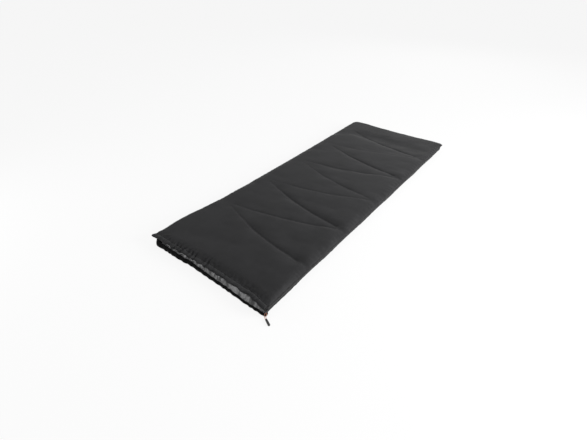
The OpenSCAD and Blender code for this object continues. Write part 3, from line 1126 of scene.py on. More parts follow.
def thin_cloth(name: str, outer: Sheet, inner: Sheet, turned: bool) -> bpy.types.Object:
    """Makes a closed thin cloth from a fine outer face and a coarser inner face.

    Args:
        name: Name of the piece.
        outer: The outer face, twice as fine as the inner one.
        inner: The inner face.
        turned: True where the outer face looks down.

    Returns:
        The new object.
    """
    rows, cols = outer.points.shape[:2]
    inner_rows, inner_cols = inner.points.shape[:2]
    first = rows * cols
    faces = grid_faces(rows, cols, 0, turned)
    faces += grid_faces(inner_rows, inner_cols, first, not turned)
    rim = grid_border(rows, cols)
    hem = grid_border(inner_rows, inner_cols, first)
    for k, low in enumerate(hem):
        low_next = hem[(k + 1) % len(hem)]
        a = rim[2 * k]
        b = rim[2 * k + 1]
        c = rim[(2 * k + 2) % len(rim)]
        for face in ((b, a, low), (b, low, low_next), (c, b, low_next)):
            faces.append(face[::-1] if turned else face)
    points = np.concatenate([outer.points.reshape(-1, 3), inner.points.reshape(-1, 3)])
    flat = np.concatenate([outer.flat.reshape(-1, 2), inner.flat.reshape(-1, 2)])
    return mesh_object(name, points, faces, flat)


@dataclass(frozen=True)
class Puffing:
    """How cloth is blown up between its stitches."""

    frames: int = 20
    pressure: float = 20.0
    mass: float = 0.3
    stiffness: float = 12.0
    bending: float = 0.3
    growth: float = 0.012
    cap: float = 0.0065
    quality: int = 6
    damping: float = 4.0

    def settle(self, points: Array, held: Array, turned: bool) -> Array:
        """Runs Blender's cloth on a grid.

        Args:
            points: The grid at the start.
            held: True for each point that stays where it is.
            turned: True where the outer face looks down.

        Returns:
            The grid at the end, with every move eased to stay below the cap.
        """
        rows, cols = points.shape[:2]
        obj = mesh_object("settling", points, grid_faces(rows, cols, 0, turned))
        group = obj.vertex_groups.new(name="held")
        group.add(np.flatnonzero(held.ravel()).tolist(), 1.0, "REPLACE")
        cloth = obj.modifiers.new("Settle", "CLOTH")
        settings = cloth.settings
        settings.vertex_group_mass = "held"
        settings.quality = self.quality
        settings.mass = self.mass
        settings.tension_stiffness = self.stiffness
        settings.compression_stiffness = self.stiffness
        settings.shear_stiffness = self.stiffness / 2.0
        settings.bending_stiffness = self.bending
        settings.air_damping = self.damping
        settings.use_pressure = True
        settings.uniform_pressure_force = self.pressure
        settings.use_pressure_volume = True
        settings.target_volume = 0.0
        settings.shrink_min = -self.growth
        settings.effector_weights.gravity = 0.0
        cloth.collision_settings.use_collision = False
        cloth.point_cache.frame_start = 1
        cloth.point_cache.frame_end = self.frames
        scene = bpy.context.scene
        for number in range(1, self.frames + 1):
            scene.frame_set(number)
        ready = obj.evaluated_get(bpy.context.evaluated_depsgraph_get())
        settled = np.empty(rows * cols * 3, dtype=np.float32)
        ready.data.vertices.foreach_get("co", settled)
        bpy.data.objects.remove(obj)
        scene.frame_set(1)
        move = settled.reshape(points.shape).astype(float) - points
        far = np.linalg.norm(move, axis=2, keepdims=True)
        return points + move * self.cap * np.tanh(far / self.cap) / np.maximum(far, TINY)


@dataclass
class Mouth:
    """The line of the mouth: where each quilt's lip ends, and how high it stands."""

    bag: Bag
    hem_depth: float = 0.022
    lip: Line = Line((
        (-0.375, -0.986), (-0.27, -0.986), (-0.12, -0.981), (0.00, -0.978), (0.10, -0.979),
        (0.27, -0.983), (0.37, -0.998),
    ))
    rim: Line = Line((
        (-0.375, -0.998), (-0.28, -0.996), (-0.22, -0.997), (-0.16, -0.995), (-0.11, -0.990),
        (0.05, -0.993), (0.33, -1.000),
    ))
    rise: Line = Line((
        (-0.37, 0.003), (-0.28, 0.005), (-0.04, 0.005), (0.14, 0.008), (0.24, 0.007), (0.36, 0.000),
    ))
    rim_top: Line = Line((
        (-0.36, 0.0390), (-0.24, 0.0375), (-0.14, 0.0330), (-0.06, 0.0280), (0.08, 0.0240), (0.25, 0.0185),
    ))
    satin_turn: float = 0.80
    satin_start: float = -0.325
    satin_top: Line = Line((
        (-0.36, 0.0400), (-0.24, 0.0400), (-0.05, 0.0390), (0.06, 0.0400), (0.24, 0.0410), (0.36, 0.0290),
    ))
    apex_depth: Line = Line(((-0.36, 0.018), (-0.20, 0.017), (-0.06, 0.014), (0.10, 0.012), (0.30, 0.010)))
    tip: tuple[float, float, float] = (-0.019, -0.002, 0.001)
    tip_reach: float = 0.045
    rim_end: float = 0.026
    gather_length: float = 0.028
    gather_depth: Line = Line((
        (-0.37, 0.0020), (-0.30, 0.0070), (-0.06, 0.0070), (0.10, 0.0046), (0.30, 0.0042), (0.37, 0.0012),
    ))
    gather_reach: float = 0.045
    lip_sway: float = 0.0034
    sway_length: float = 0.058
    hem_puff: float = 0.0032
    seam_dip: float = 0.0035
    crease_length: float = 0.027
    crease_depth: Line = Line((
        (-0.36, 0.0004), (-0.10, 0.0010), (0.05, 0.0048), (0.30, 0.0050), (0.36, 0.0010),
    ))
    gather_shift: float = 2.8
    gather_main: float = 0.75
    gather_detail: float = 0.45
    gather_front: float = 0.35
    gather_roll: float = 0.5
    sway_shift: float = 3.6
    sway_edge: tuple[float, float] = (0.01, 0.08)
    crease_shift: float = 2.6
    hem_gap: float = 0.0004
    hem_round: float = 0.8
    rim_wave: float = 0.0012
    rim_wave_length: float = 0.043
    rim_uneven: float = 0.0010
    rim_floor: float = 0.018
    rim_middle: float = 0.42
    crease_turn: float = 0.6
    top_steps: int = 14
    top_turn: float = 0.70
    rim_steps: int = 10
    corner_rounds: int = 12

    def front(self, layer: Layer, x: Array) -> Array:
        """Gives how far forward a quilt's lip reaches."""
        return (self.lip if layer is Layer.TOP else self.rim).at(x)

    def back(self, layer: Layer, x: Array) -> Array:
        """Gives where the hem's line of stitches runs."""
        return self.front(layer, x) + self.hem_depth

    def gathers(self, x: Array, y: Array) -> Array:
        """Gives the height of the uneven gathers along the top lip.

        Args:
            x: Places across the bag.
            y: Places along the bag.

        Returns:
            Heights in metres.
        """
        shift = self.gather_shift * GATHER_WAVER.at(x, y)
        wave = self.gather_main * sine_wave(x, self.gather_length, shift)
        wave = wave + self.gather_detail * GATHER_DETAIL.at(x, y)
        strength = patchy(GATHER_STRENGTH.at(x, y), middle=0.50, spread=0.70, low=0.0, high=1.4)
        return self.gather_depth.at(x) * np.tanh(wave * strength)

    def creases(self, x: Array) -> Array:
        """Gives the height of the loose creases across the satin of the lower lip.

        Args:
            x: Places across the bag.

        Returns:
            Heights in metres.
        """
        level = np.zeros_like(x)
        wave = sine_wave(x, self.crease_length, self.crease_shift * CREASE_WAVER.at(x, level))
        strength = patchy(CREASE_STRENGTH.at(x, level), middle=0.65, spread=0.5, low=0.2, high=1.3)
        return self.crease_depth.at(x) * wave * strength

    def lift_corner(self, points: Array) -> Array:
        """Draws the fold side's top corner out to a point.

        Args:
            points: Points of the top quilt.

        Returns:
            The points, moved near that corner.
        """
        corner = np.array([-self.bag.half_w, float(self.lip.at(-self.bag.half_w))])
        gap = np.linalg.norm(points[..., :2] - corner, axis=-1)
        return points + bell(gap, 0.0, self.tip_reach)[..., None] * np.array(self.tip)

    def drop_corner(self, row: Array) -> Array:
        """Takes the corner's move back out of a row that already has it.

        Args:
            row: Points of the top quilt, as moved.

        Returns:
            The points before the move.
        """
        plain = row.copy()
        for _ in range(self.corner_rounds):
            plain = row - (self.lift_corner(plain) - plain)
        return plain

    def top_section(self, back: Array, inner_z: float) -> Array:
        """Draws the top hem's roll at each column.

        Args:
            back: The shell's front row, where the hem is sewn on.
            inner_z: Height of the lining.

        Returns:
            Rings of points, from the outer face round the front to the inner face.
        """
        x = back[:, 0]
        gathers = self.gathers(x, back[:, 1])
        shift = self.sway_shift * LIP_WAVER.at(x, np.zeros_like(x))
        sway = self.lip_sway * sine_wave(x, self.sway_length, shift)
        sway = sway * smooth(self.bag.half_w - np.abs(x), *self.sway_edge)
        front = self.front(Layer.TOP, x) - self.gather_front * gathers + sway
        low = inner_z + self.rise.at(x) + self.hem_gap
        turn = np.linspace(math.pi / 2.0, -math.pi / 2.0, self.top_steps + 1)
        depth = (back[:, 1] - front)[:, None]
        y = back[:, 1][:, None] - depth * np.cos(turn)[None, :] ** self.hem_round
        share = (1.0 + np.sin(turn)[None, :]) / 2.0
        z = mix(low[:, None], back[:, 2][:, None], share)
        z = z + (self.gather_roll * gathers)[:, None] * np.cos(turn)[None, :]
        z = z + self.hem_puff * np.maximum(np.sin(2.0 * turn), 0.0)[None, :]
        return np.stack([np.repeat(x[:, None], len(turn), axis=1), y, z], axis=-1)

    def rim_section(self, back: Array) -> Array:
        """Draws the lower hem's roll at each column: a full black front, then satin that slopes back and up.

        Args:
            back: The shell's front row, where the hem is sewn on.

        Returns:
            Rings of points, from the floor round the front to the satin.
        """
        x = back[:, 0]
        waver = RIM_WAVER.at(x, np.zeros_like(x))
        front = self.rim.at(x) + self.rim_wave * sine_wave(x, self.rim_wave_length, 2.0 * waver)
        end = np.clip((-self.bag.half_w + self.rim_end - x) / self.rim_end, 0.0, 1.0)
        front = front + self.rim_end * (1.0 - np.sqrt(1.0 - end ** 2))
        apex = self.rim_top.at(x) + self.rim_uneven * waver
        half = self.rim_middle * apex
        quarter = np.linspace(0.0, math.pi / 2.0, self.rim_steps + 1)
        floor_y = front + np.minimum(self.rim_floor, back[:, 1] - front)
        apex_y = front + np.minimum(self.apex_depth.at(x), back[:, 1] - front)
        under_y = floor_y[:, None] - (floor_y - front)[:, None] * np.sin(quarter)[None, :]
        under_z = half[:, None] * (1.0 - np.cos(quarter))[None, :]
        over_y = apex_y[:, None] - (apex_y - front)[:, None] * np.cos(quarter)[None, 1:]
        over_z = half[:, None] + (apex - half)[:, None] * np.sin(quarter)[None, 1:]
        share = np.linspace(0.0, 1.0, self.rim_steps + 1)[1:]
        satin_y = mix(apex_y[:, None], back[:, 1][:, None], share[None, :])
        satin_z = mix(apex[:, None], self.satin_top.at(x)[:, None], np.sin(share * math.pi / 2.0)[None, :])
        satin_z = satin_z + self.creases(x)[:, None] * np.sin(math.pi * share * self.crease_turn)[None, :]
        y = np.concatenate([back[:, 1][:, None], under_y, over_y, satin_y], axis=1)
        z = np.concatenate([0.0 * x[:, None], under_z, over_z, satin_z], axis=1)
        return np.stack([np.repeat(x[:, None], y.shape[1], axis=1), y, z], axis=-1)


@dataclass
class Quilt:
    """One of the bag's two quilts: shell, wadding, lining and mouth hem."""

    layer: Layer
    bag: Bag
    quilting: Quilting
    mouth: Mouth
    body: str
    prefix: str
    valley: float = 0.0105
    valley_reach: float = 0.070
    valley_round: float = 0.012
    tail_reach: float = 0.016
    slack: float = 0.0085
    faint: float = 0.35
    swell: float = 0.0030
    point_dip: float = 0.004
    point_reach: float = 0.036
    press: float = 0.007
    least_rise: float = 0.005
    foot_hollow: float = 0.012
    seam: float = 0.006
    side_roll: float = 0.065
    fold_bulge: float = 0.023
    fold_draw: float = 0.007
    fold_gap: float = 0.0017
    side_puff: float = 0.007
    crease_blur: int = 3
    cell_blur: int = 70
    pull_blur: int = 14
    edge_cells: float = 5.0
    mouth_roll: float = 0.032
    foot_roll: float = 0.040
    corner: float = 0.030
    ear: float = 0.012
    spacing: float = 0.009
    roll_steps: int = 8
    foot_steps: int = 6
    cloth: float = 0.0009
    hem_lap: float = 0.005
    hem_blend: float = 0.20
    firm_from: tuple[float, float] = (-0.28, 0.02)
    loose_share: float = 0.4
    broad_swell: float = 0.7
    close_swell: float = 0.5
    lip_dip: float = 0.003
    lip_fade: tuple[float, float] = (0.04, 0.12)
    hollow_back: float = 0.225
    hollow_reach: float = 0.075
    hollow_across: tuple[float, float] = (0.04, 0.34)
    mouth_narrow: tuple[float, float] = (-0.90, -0.55)
    puff_reach: tuple[float, float] = (0.03, 0.16)
    seam_draw: float = 0.001
    tail_draw: float = 0.004
    bulge_at: tuple[float, float] = (-0.78, 0.26)
    draw_at: tuple[float, float] = (0.15, 0.40)
    fold_puff: float = 0.3
    foot_puff: float = 0.006
    ear_reach: float = 0.030
    fold_ear: float = 0.3
    groove_depth: float = 0.0034
    groove_reach: float = 0.0065
    tuck_depth: float = 0.0005
    tuck_reach: float = 0.018
    tuck_length: float = 0.027
    tuck_shift: float = 2.6
    edge_depth: float = 0.0005
    edge_length: float = 0.031
    edge_band: tuple[float, float] = (0.010, 0.022)
    crumple: float = 0.0004
    hem_seam: tuple[float, float] = (0.003, 0.008)
    fill_inset: float = 0.97
    fill_clear: float = 0.004
    fill_least: float = 0.0032
    fill_back: float = 0.0022
    lining_inset: float = 0.0014
    lining_draw: float = 0.0016
    lining_draw_reach: float = 0.012
    lining_tuck: float = 0.0007
    lining_tuck_length: float = 0.026
    lining_tuck_reach: float = 0.025
    lining_loose: float = 0.0011
    lining_least: float = 0.001
    lining_cloth: float = 0.0006
    lining_calm: float = 0.05
    lining_reach: float = 0.10
    satin_share: float = 0.95
    thread_lift: float = 0.0002
    lining_thread_lift: float = 0.0003
    hem_stitch: float = 0.004
    hem_stitch_inset: float = 0.02
    hem_stitch_step: float = 0.006
    puffing: Puffing = field(default_factory=Puffing)
    sign: float = 1.0
    base: float = 0.0
    loft: float = 0.028
    shell: Optional[Sheet] = None

    FILL_ROWS = slice(8, -6, 4)
    FILL_COLS = slice(4, -4, 4)

    def __post_init__(self) -> None:
        """Works out which way the quilt swells, and from where."""
        top = self.layer is Layer.TOP
        self.sign = 1.0 if top else -1.0
        self.base = self.bag.top_base if top else self.bag.under_base
        self.loft = self.bag.top_crown - self.bag.top_base if top else self.bag.under_base

    @property
    def turned(self) -> bool:
        """True where the outside looks down."""
        return self.layer is Layer.UNDER

    @property
    def first_row(self) -> float:
        """Where the cloth's first row lies before it is drawn to the hem."""
        return -self.bag.half_l + self.mouth.hem_depth + self.hem_lap

    def meet_hem(self, x: Array, y: Array) -> Array:
        """Draws the rows near the mouth to the hem.

        Args:
            x: Places across the bag.
            y: Places along the bag, with straight rows.

        Returns:
            Places along the bag, with the first row along the hem.
        """
        start = self.first_row
        shift = self.mouth.back(self.layer, x) - start
        return y + shift * (1.0 - smooth(y, start, start + self.hem_blend))

    def columns(self) -> tuple[Array, Array, Array, Array]:
        """Lays out the columns across the quilt.

        Returns:
            For each column its side, its angle on the side roll, its share of the flat and its skirt.
        """
        roll = np.linspace(0.0, math.pi / 2.0, self.roll_steps + 1)
        count = round(2.0 * (self.bag.half_w - self.side_roll) / self.spacing)
        inner = np.linspace(-1.0, 1.0, count + 1)[1:-1]
        plain = np.zeros(len(inner))
        side = np.concatenate([[-1.0], -np.ones(len(roll)), plain, np.ones(len(roll)), [1.0]])
        angle = np.concatenate([[0.0], roll, plain + math.pi / 2.0, roll[::-1], [0.0]])
        share = np.concatenate([[0.0], 0.0 * roll, inner, 0.0 * roll, [0.0]])
        skirt = np.concatenate([[1.0], 0.0 * roll, plain, 0.0 * roll, [1.0]])
        return side, angle, share, skirt

    def rows(self, start: float) -> tuple[Array, Array, Array]:
        """Lays out the rows from the mouth to the foot.

        Args:
            start: Where the first row is.

        Returns:
            For each row its place along the bag, its angle on the foot roll and its skirt.
        """
        flat_end = self.bag.half_l - self.foot_roll
        plain = np.linspace(start, flat_end, round((flat_end - start) / self.spacing) + 1)
        roll = np.linspace(math.pi / 2.0, 0.0, self.foot_steps + 1)[1:]
        rolled = self.bag.half_l - self.foot_roll * (1.0 - np.cos(roll))
        place = np.concatenate([plain, rolled, [self.bag.half_l]])
        angle = np.concatenate([np.full(len(plain), math.pi / 2.0), roll, [0.0]])
        skirt = np.concatenate([np.zeros(len(plain) + len(roll)), [1.0]])
        return place, angle, skirt

    def round_corner(self, x: Array, y: Array) -> tuple[Array, Array]:
        """Bends the square foot corners into arcs.

        Args:
            x: Places across the bag.
            y: Places along the bag.

        Returns:
            The new places.
        """
        dx = np.abs(x) - (self.bag.half_w - self.corner)
        dy = y - (self.bag.half_l - self.corner)
        bent = (dx > 0.0) & (dy > 0.0)
        pull = np.where(bent, np.maximum(dx, dy) / np.maximum(np.hypot(dx, dy), TINY), 1.0)
        new_x = np.where(bent, np.sign(x) * (self.bag.half_w - self.corner + dx * pull), x)
        new_y = np.where(bent, self.bag.half_l - self.corner + dy * pull, y)
        return new_x, new_y

    def firmness(self, x: Array, y: Array) -> Array:
        """How firmly the stitches draw the cloth in: leg by leg, and faintly by the fold."""
        _, _, pull = self.quilting.nearest(x, y)
        return soften(pull * mix(self.faint, 1.0, smooth(x, *self.firm_from)), self.pull_blur)

    def height(self, x: Array, y: Array) -> Array:
        """Height of the shell over its lining, away from the edges.

        Args:
            x: Places across the bag.
            y: Places along the bag.

        Returns:
            Heights in metres.
        """
        gap, _, _ = self.quilting.nearest(x, y)
        gap = np.hypot(gap, self.valley_round) - self.valley_round
        near = np.clip(1.0 - gap / self.valley_reach, 0.0, 1.0) ** 2
        near = np.maximum(near, self.quilting.tails(x, y, self.tail_reach))
        firm = self.firmness(x, y)
        dip = self.slack * mix(self.loose_share, 1.0, firm) + (self.valley - self.slack) * firm * near
        broad, close = SWELLS[self.layer]
        uneven = self.swell * (self.broad_swell * broad.at(x, y) + self.close_swell * close.at(x, y))
        lip = self.lip_dip * (1.0 - smooth(y + self.bag.half_l, *self.lip_fade))
        hollow = self.foot_hollow * bell(y, self.bag.half_l - self.hollow_back, self.hollow_reach)
        hollow = hollow * bell(x, *self.hollow_across)
        point = self.point_dip * firm * self.quilting.tails(x, y, self.point_reach)
        return self.loft - dip + uneven - lip - hollow - point

    def start_sheet(self) -> tuple[Sheet, Array]:
        """Lays the shell out before it is puffed.

        Returns:
            The cloth, and True for each point that stitches or seams hold.
        """
        side, angle, share, skirt = self.columns()
        place, foot_angle, foot_skirt = self.rows(self.first_row)
        y = np.repeat(place[:, None], len(side), axis=1)
        narrow = 1.0 - smooth(y, *self.mouth_narrow)
        roll = mix(self.side_roll, self.mouth_roll, narrow)
        wall = self.bag.half_w - roll
        x = np.where(side == 0.0, share * wall, side * (wall + roll * np.cos(angle)))
        y = self.meet_hem(x, y)
        held = np.zeros(x.shape, dtype=bool)
        held |= (angle == 0.0)[None, :]
        held |= (foot_angle == 0.0)[:, None]
        held[0] = True
        for a, b in self.quilting.legs():
            middle = x[len(x) // 2]
            for c in np.flatnonzero((middle > min(a[0], b[0])) & (middle < max(a[0], b[0]))):
                share_x = (x[:, c] - a[0]) / (b[0] - a[0])
                line_y = mix(a[1], b[1], share_x) - self.quilting.sag(share_x)
                r = int(np.argmin(np.abs(y[:, c] - line_y)))
                y[r, c] = line_y[r]
                held[r, c] = True
        full = np.sin(angle)[None, :] * np.sin(foot_angle)[:, None]
        rise = mix(self.seam, self.height(x, y), full)
        rise = rise * (1.0 - np.maximum(skirt[None, :], foot_skirt[:, None]))
        gap, _, _ = self.quilting.nearest(x, y)
        puff = self.side_puff * smooth(gap, *self.puff_reach) - self.seam_draw
        puff = puff - self.tail_draw * self.quilting.tails(x, y, self.tail_reach)
        sway = self.fold_bulge * bell(y, *self.bulge_at) - self.fold_draw * bell(y, *self.draw_at)
        puff = np.where(side < 0.0, self.fold_puff * puff + sway, puff)
        room = np.where(side < 0.0, self.fold_gap * np.cos(angle), 0.0)
        bulge = puff * np.sin(2.0 * angle)[None, :] - room
        foot_bulge = self.foot_puff * np.sin(2.0 * foot_angle)[:, None]
        new_x, new_y = self.round_corner(x, y)
        points = np.stack([new_x + side * bulge, new_y + foot_bulge, self.base + self.sign * rise], axis=-1)
        return Sheet(points, lay_flat(points)), held

    def draw_ears(self, points: Array) -> Array:
        """Draws the rounded foot corners out to points, as sewn corners are.

        Args:
            points: Points of the shell.

        Returns:
            The points, moved near those corners.
        """
        moved = points
        lift = np.clip((points[..., 2] - self.base) * self.sign / self.loft, 0.0, 1.0)
        for side, reach in ((-1.0, self.ear * self.fold_ear), (1.0, self.ear)):
            corner = np.array([side * self.bag.half_w, self.bag.half_l])
            gap = np.linalg.norm(points[..., :2] - corner, axis=-1)
            share = bell(gap, 0.0, self.ear_reach) * 4.0 * lift * (1.0 - lift)
            moved = moved + share[..., None] * np.array([side * reach, reach, 0.0])
        return moved

    def puckers(self, sheet: Sheet) -> Array:
        """Small relief along the stitches, the seams and the mouth.

        Args:
            sheet: The fine cloth.

        Returns:
            How far each point moves outward.
        """
        x = sheet.points[..., 0]
        y = sheet.points[..., 1]
        gap, along, _ = self.quilting.nearest(x, y)
        firm = self.firmness(x, y)
        groove = self.groove_depth * firm * bell(gap, 0.0, self.groove_reach)
        waver = SEAM_WAVER.at(x, y)
        patches = patchy(TUCK_PATCHES.at(x, y), middle=0.5, spread=0.6, low=0.0, high=1.0)
        tuck = self.tuck_depth * firm * patches * np.exp(-gap / self.tuck_reach)
        tuck = tuck * sine_wave(along, self.tuck_length, self.tuck_shift * waver)
        edge = self.bag.half_w - np.abs(x)
        edge_wave = sine_wave(y, self.edge_length, 2.0 * waver) * bell(edge, *self.edge_band)
        relief = tuck - groove + self.edge_depth * edge_wave + self.crumple * SHELL_CRUMPLE.at(x, y)
        if self.layer is Layer.TOP:
            back = self.mouth.back(self.layer, x)
            near = 1.0 - smooth(y - back, 0.0, self.mouth.gather_reach)
            relief = relief + self.mouth.gathers(x, y) * near
            relief = relief - self.mouth.seam_dip * bell(y - back, *self.hem_seam)
        seams = np.minimum(1.0, np.abs(sheet.points[..., 2] - self.base) / self.seam)
        return relief * seams

    def ease_creases(self, points: Array, move: Array) -> Array:
        """Rounds the creases at the stitches, and lets them fade where the cloth is drawn in faintly.

        Args:
            points: The cloth before it was puffed.
            move: How far each point was puffed.

        Returns:
            The eased moves, none of them at the edges.
        """
        rows, cols = points.shape[:2]
        row = np.arange(rows, dtype=float)
        col = np.arange(cols, dtype=float)
        edge = np.minimum(np.minimum(row, row[::-1])[:, None], np.minimum(col, col[::-1])[None, :])
        firm = self.firmness(points[..., 0], points[..., 1])[..., None]
        eased = mix(soften(move, self.cell_blur), soften(move, self.crease_blur), firm)
        return eased * smooth(edge, 0.0, self.edge_cells)[..., None]

    def make_shell(self, cloth: ClothFinish) -> bpy.types.Object:
        """Puffs the shell, sews its relief in and makes its thin cloth.

        Args:
            cloth: The shell's finish.

        Returns:
            The shell.
        """
        start, held = self.start_sheet()
        points = start.points
        inside = points[:-1, 1:-1].copy()
        settled = self.puffing.settle(inside, held[:-1, 1:-1], self.turned)
        points[:-1, 1:-1] = inside + self.ease_creases(inside, settled - inside)
        coarse = Sheet(points, start.flat)
        fine = coarse.finer()
        normals = grid_normals(fine.points) * self.sign
        outer = fine.points + normals * self.puckers(fine)[..., None]
        outer = self.draw_ears(outer)
        if self.layer is Layer.UNDER:
            outer[..., 2] = np.maximum(outer[..., 2], 0.0)
        else:
            least = self.base + self.lining_lift(outer[..., 0], outer[..., 1]) + self.least_rise
            deep = np.abs(fine.points[..., 2] - self.base) > self.seam
            outer[..., 2] = np.where(deep, np.maximum(outer[..., 2], least), outer[..., 2])
            outer = self.mouth.lift_corner(outer)
            level = self.base + self.loft - self.press
            over = np.maximum(outer[..., 2] - level, 0.0)
            outer[..., 2] += self.press * np.tanh(over / self.press) - over
        self.shell = Sheet(outer, fine.flat)
        inner = outer[::2, ::2] - grid_normals(outer[::2, ::2]) * self.sign * self.cloth
        piece = thin_cloth(self.prefix + "_shell_cloth", self.shell, Sheet(inner, start.flat), self.turned)
        piece.data.materials.append(cloth.material())
        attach(piece, self.body)
        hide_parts(self.prefix + "_shell")
        self.shell.flat_size()
        self.prefix + "_fill"
        return piece

    def make_fill(self, cloth: ClothFinish) -> bpy.types.Object:
        """Makes the wadding, a little inside the shell.

        Args:
            cloth: The wadding's finish.

        Returns:
            The wadding.
        """
        rise = (self.shell.points[..., 2] - self.base) * self.sign
        for axis in (0, 1):
            for step in (1, 2, 3):
                rise = np.minimum(rise, np.minimum(np.roll(rise, step, axis), np.roll(rise, -step, axis)))
        within = (self.FILL_ROWS, self.FILL_COLS)
        skin = self.shell.points[within].copy()
        flat = self.shell.flat[within]
        rows, cols = skin.shape[:2]
        skin[..., 0] *= self.fill_inset
        lift = self.lining_lift(skin[..., 0], skin[..., 1]) if self.layer is Layer.TOP else 0.0
        fill_rise = np.maximum(rise[within] - self.fill_clear, lift + self.fill_least)
        skin[..., 2] = self.base + self.sign * fill_rise
        back = skin.copy()
        wall = self.bag.half_w - self.seam
        back[..., 0] = np.clip(back[..., 0], -wall, wall)
        back[..., 2] = self.base + self.sign * (lift + self.fill_back)
        first = rows * cols
        faces = grid_faces(rows, cols, 0, self.turned) + grid_faces(rows, cols, first, not self.turned)
        rim = grid_border(rows, cols)
        for a, b in zip(rim, rim[1:] + rim[:1]):
            face = (b, a, a + first, b + first)
            faces.append(face[::-1] if self.turned else face)
        points = np.concatenate([skin.reshape(-1, 3), back.reshape(-1, 3)])
        places = np.concatenate([flat.reshape(-1, 2), flat.reshape(-1, 2)])
        piece = mesh_object(self.prefix + "_wadding", points, faces, places)
        piece.data.materials.append(cloth.material())
        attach(piece, self.body)
        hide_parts(self.prefix + "_fill")
        return piece

    def lining_height(self, x: Array, y: Array) -> Array:
        """Height of the lining's inner face: drawn in at the stitches, with loose creases.

        Args:
            x: Places across the bag.
            y: Places along the bag.

        Returns:
            Heights in metres, towards the inside of the bag.
        """
        gap, along, _ = self.quilting.nearest(x, y)
        draw = -self.lining_draw * np.exp(-gap / self.lining_draw_reach)
        tuck = self.lining_tuck * sine_wave(along, self.lining_tuck_length)
        tuck = tuck * np.exp(-gap / self.lining_tuck_reach)
        loose = self.lining_loose * LINING_CRUMPLE.at(x, y)
        return np.maximum(draw + tuck + loose, -self.lining_least)

    def lining_lift(self, x: Array, y: Array) -> Array:
        """Gives how far the lining is lifted to meet the hem near the mouth.

        Args:
            x: Places across the bag.
            y: Places along the bag.

        Returns:
            Lifts in metres.
        """
        near = 1.0 - smooth(y - self.mouth.back(self.layer, x), 0.0, self.lining_reach)
        if self.layer is Layer.TOP:
            return self.mouth.rise.at(x) * near
        satin = self.mouth.satin_top.at(x) + self.satin_share * self.mouth.creases(x)
        return (satin - self.base) * near

    def make_lining(self, cloth: ClothFinish) -> bpy.types.Object:
        """Makes the satin lining on the quilt's inner side.

        Args:
            cloth: The lining's finish.

        Returns:
            The lining.
        """
        step = 2.0 * self.spacing
        width = self.bag.half_w - self.lining_inset
        length = self.bag.half_l - self.first_row
        across = np.linspace(-width, width, round(2.0 * width / step) + 1)
        along = np.linspace(self.first_row, self.bag.half_l - self.lining_inset, round(length / step) + 1)
        x, y = np.meshgrid(across, along)
        x, y = self.round_corner(x, self.meet_hem(x, y))
        flat_points = np.stack([x, y, np.full(x.shape, self.base)], axis=-1)
        fine = Sheet(flat_points, lay_flat(flat_points)).finer()
        x = fine.points[..., 0]
        y = fine.points[..., 1]
        calm = smooth(self.bag.half_w - np.abs(x), self.lining_inset, self.lining_calm)
        fine.points[..., 2] = self.base - self.sign * self.lining_height(x, y) * calm
        fine.points[..., 2] += self.lining_lift(x, y)
        inner = fine.points[::2, ::2] + np.array([0.0, 0.0, self.sign * self.lining_cloth])
        piece = thin_cloth(
            self.prefix + "_lining_cloth", fine, Sheet(inner, fine.flat[::2, ::2]), not self.turned
        )
        piece.data.materials.append(cloth.material())
        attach(piece, self.body)
        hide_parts(self.prefix + "_lining")
        fine.flat_size()
        self.prefix + "_fill"
        return piece

    def make_hem(self, outside: ClothFinish, inside: ClothFinish) -> bpy.types.Object:
        """Makes the rolled hem at the mouth.

        Args:
            outside: Finish of the outer face and the front.
            inside: Finish of the part that turns in.

        Returns:
            The hem.
        """
        back = self.shell.points[0].copy()
        if self.layer is Layer.TOP:
            back = self.mouth.drop_corner(back)
            ring = self.mouth.lift_corner(self.mouth.top_section(back, self.base))
            split = np.full(len(back), self.mouth.top_turn * self.mouth.top_steps)
        else:
            steps = self.mouth.rim_steps
            ring = self.mouth.rim_section(back)
            satin = 1.0 + steps + round(self.mouth.satin_turn * steps)
            split = np.where(back[:, 0] < self.mouth.satin_start, np.inf, satin)
        cols, sides = ring.shape[:2]
        faces = tube_faces(cols, sides)
        if self.turned:
            faces = [face[::-1] for face in faces]
        span = np.linalg.norm(np.diff(ring[cols // 2], axis=0), axis=1)
        around = np.concatenate([[0.0], np.cumsum(span)])
        flat = np.stack(np.meshgrid(around, self.shell.flat[0, :, 0]), axis=-1)[..., ::-1]
        piece = mesh_object(self.prefix + "_mouth_roll", ring, faces, flat)
        index = [int(s >= split[r]) for r in range(cols - 1) for s in range(sides)] + [0, 0]
        paint_faces(piece, [outside.material(), inside.material()], np.array(index))
        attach(piece, self.body)
        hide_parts(self.prefix + "_mouth_hem")
        return piece

    def on_shell(self, line: Array, tree: BVHTree) -> Array:
        """Drops a line onto the shell.

        Args:
            line: Points in X and Y.
            tree: The shell's faces.

        Returns:
            The points just over the cloth.
        """
        start_z = self.base + self.sign * self.bag.half_w
        down = Vector((0.0, 0.0, -self.sign))
        points = []
        for x, y in line:
            hit = tree.ray_cast(Vector((x, y, start_z)), down)[0]
            if hit is not None:
                points.append((hit.x, hit.y, hit.z + self.sign * self.thread_lift))
        return np.array(points)

    def make_stitches(self, shell: bpy.types.Object, thread: MouldedFinish) -> bpy.types.Object:
        """Sews the zigzag and the hem's line through the shell.

        Args:
            shell: The shell.
            thread: The thread's finish.

        Returns:
            All the stitches of this quilt.
        """
        tree = BVHTree.FromObject(shell, bpy.context.evaluated_depsgraph_get())
        end = self.bag.half_w - self.hem_stitch_inset
        x = np.arange(-end, end, self.hem_stitch_step)
        hem_line = np.stack([x, self.mouth.back(self.layer, x) + self.hem_stitch], axis=-1)
        lines = [self.on_shell(self.quilting.path(), tree), self.on_shell(hem_line, tree)]
        piece = Stitches().sew(self.prefix + "_stitches", lines, thread.material())
        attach(piece, self.body)
        return piece

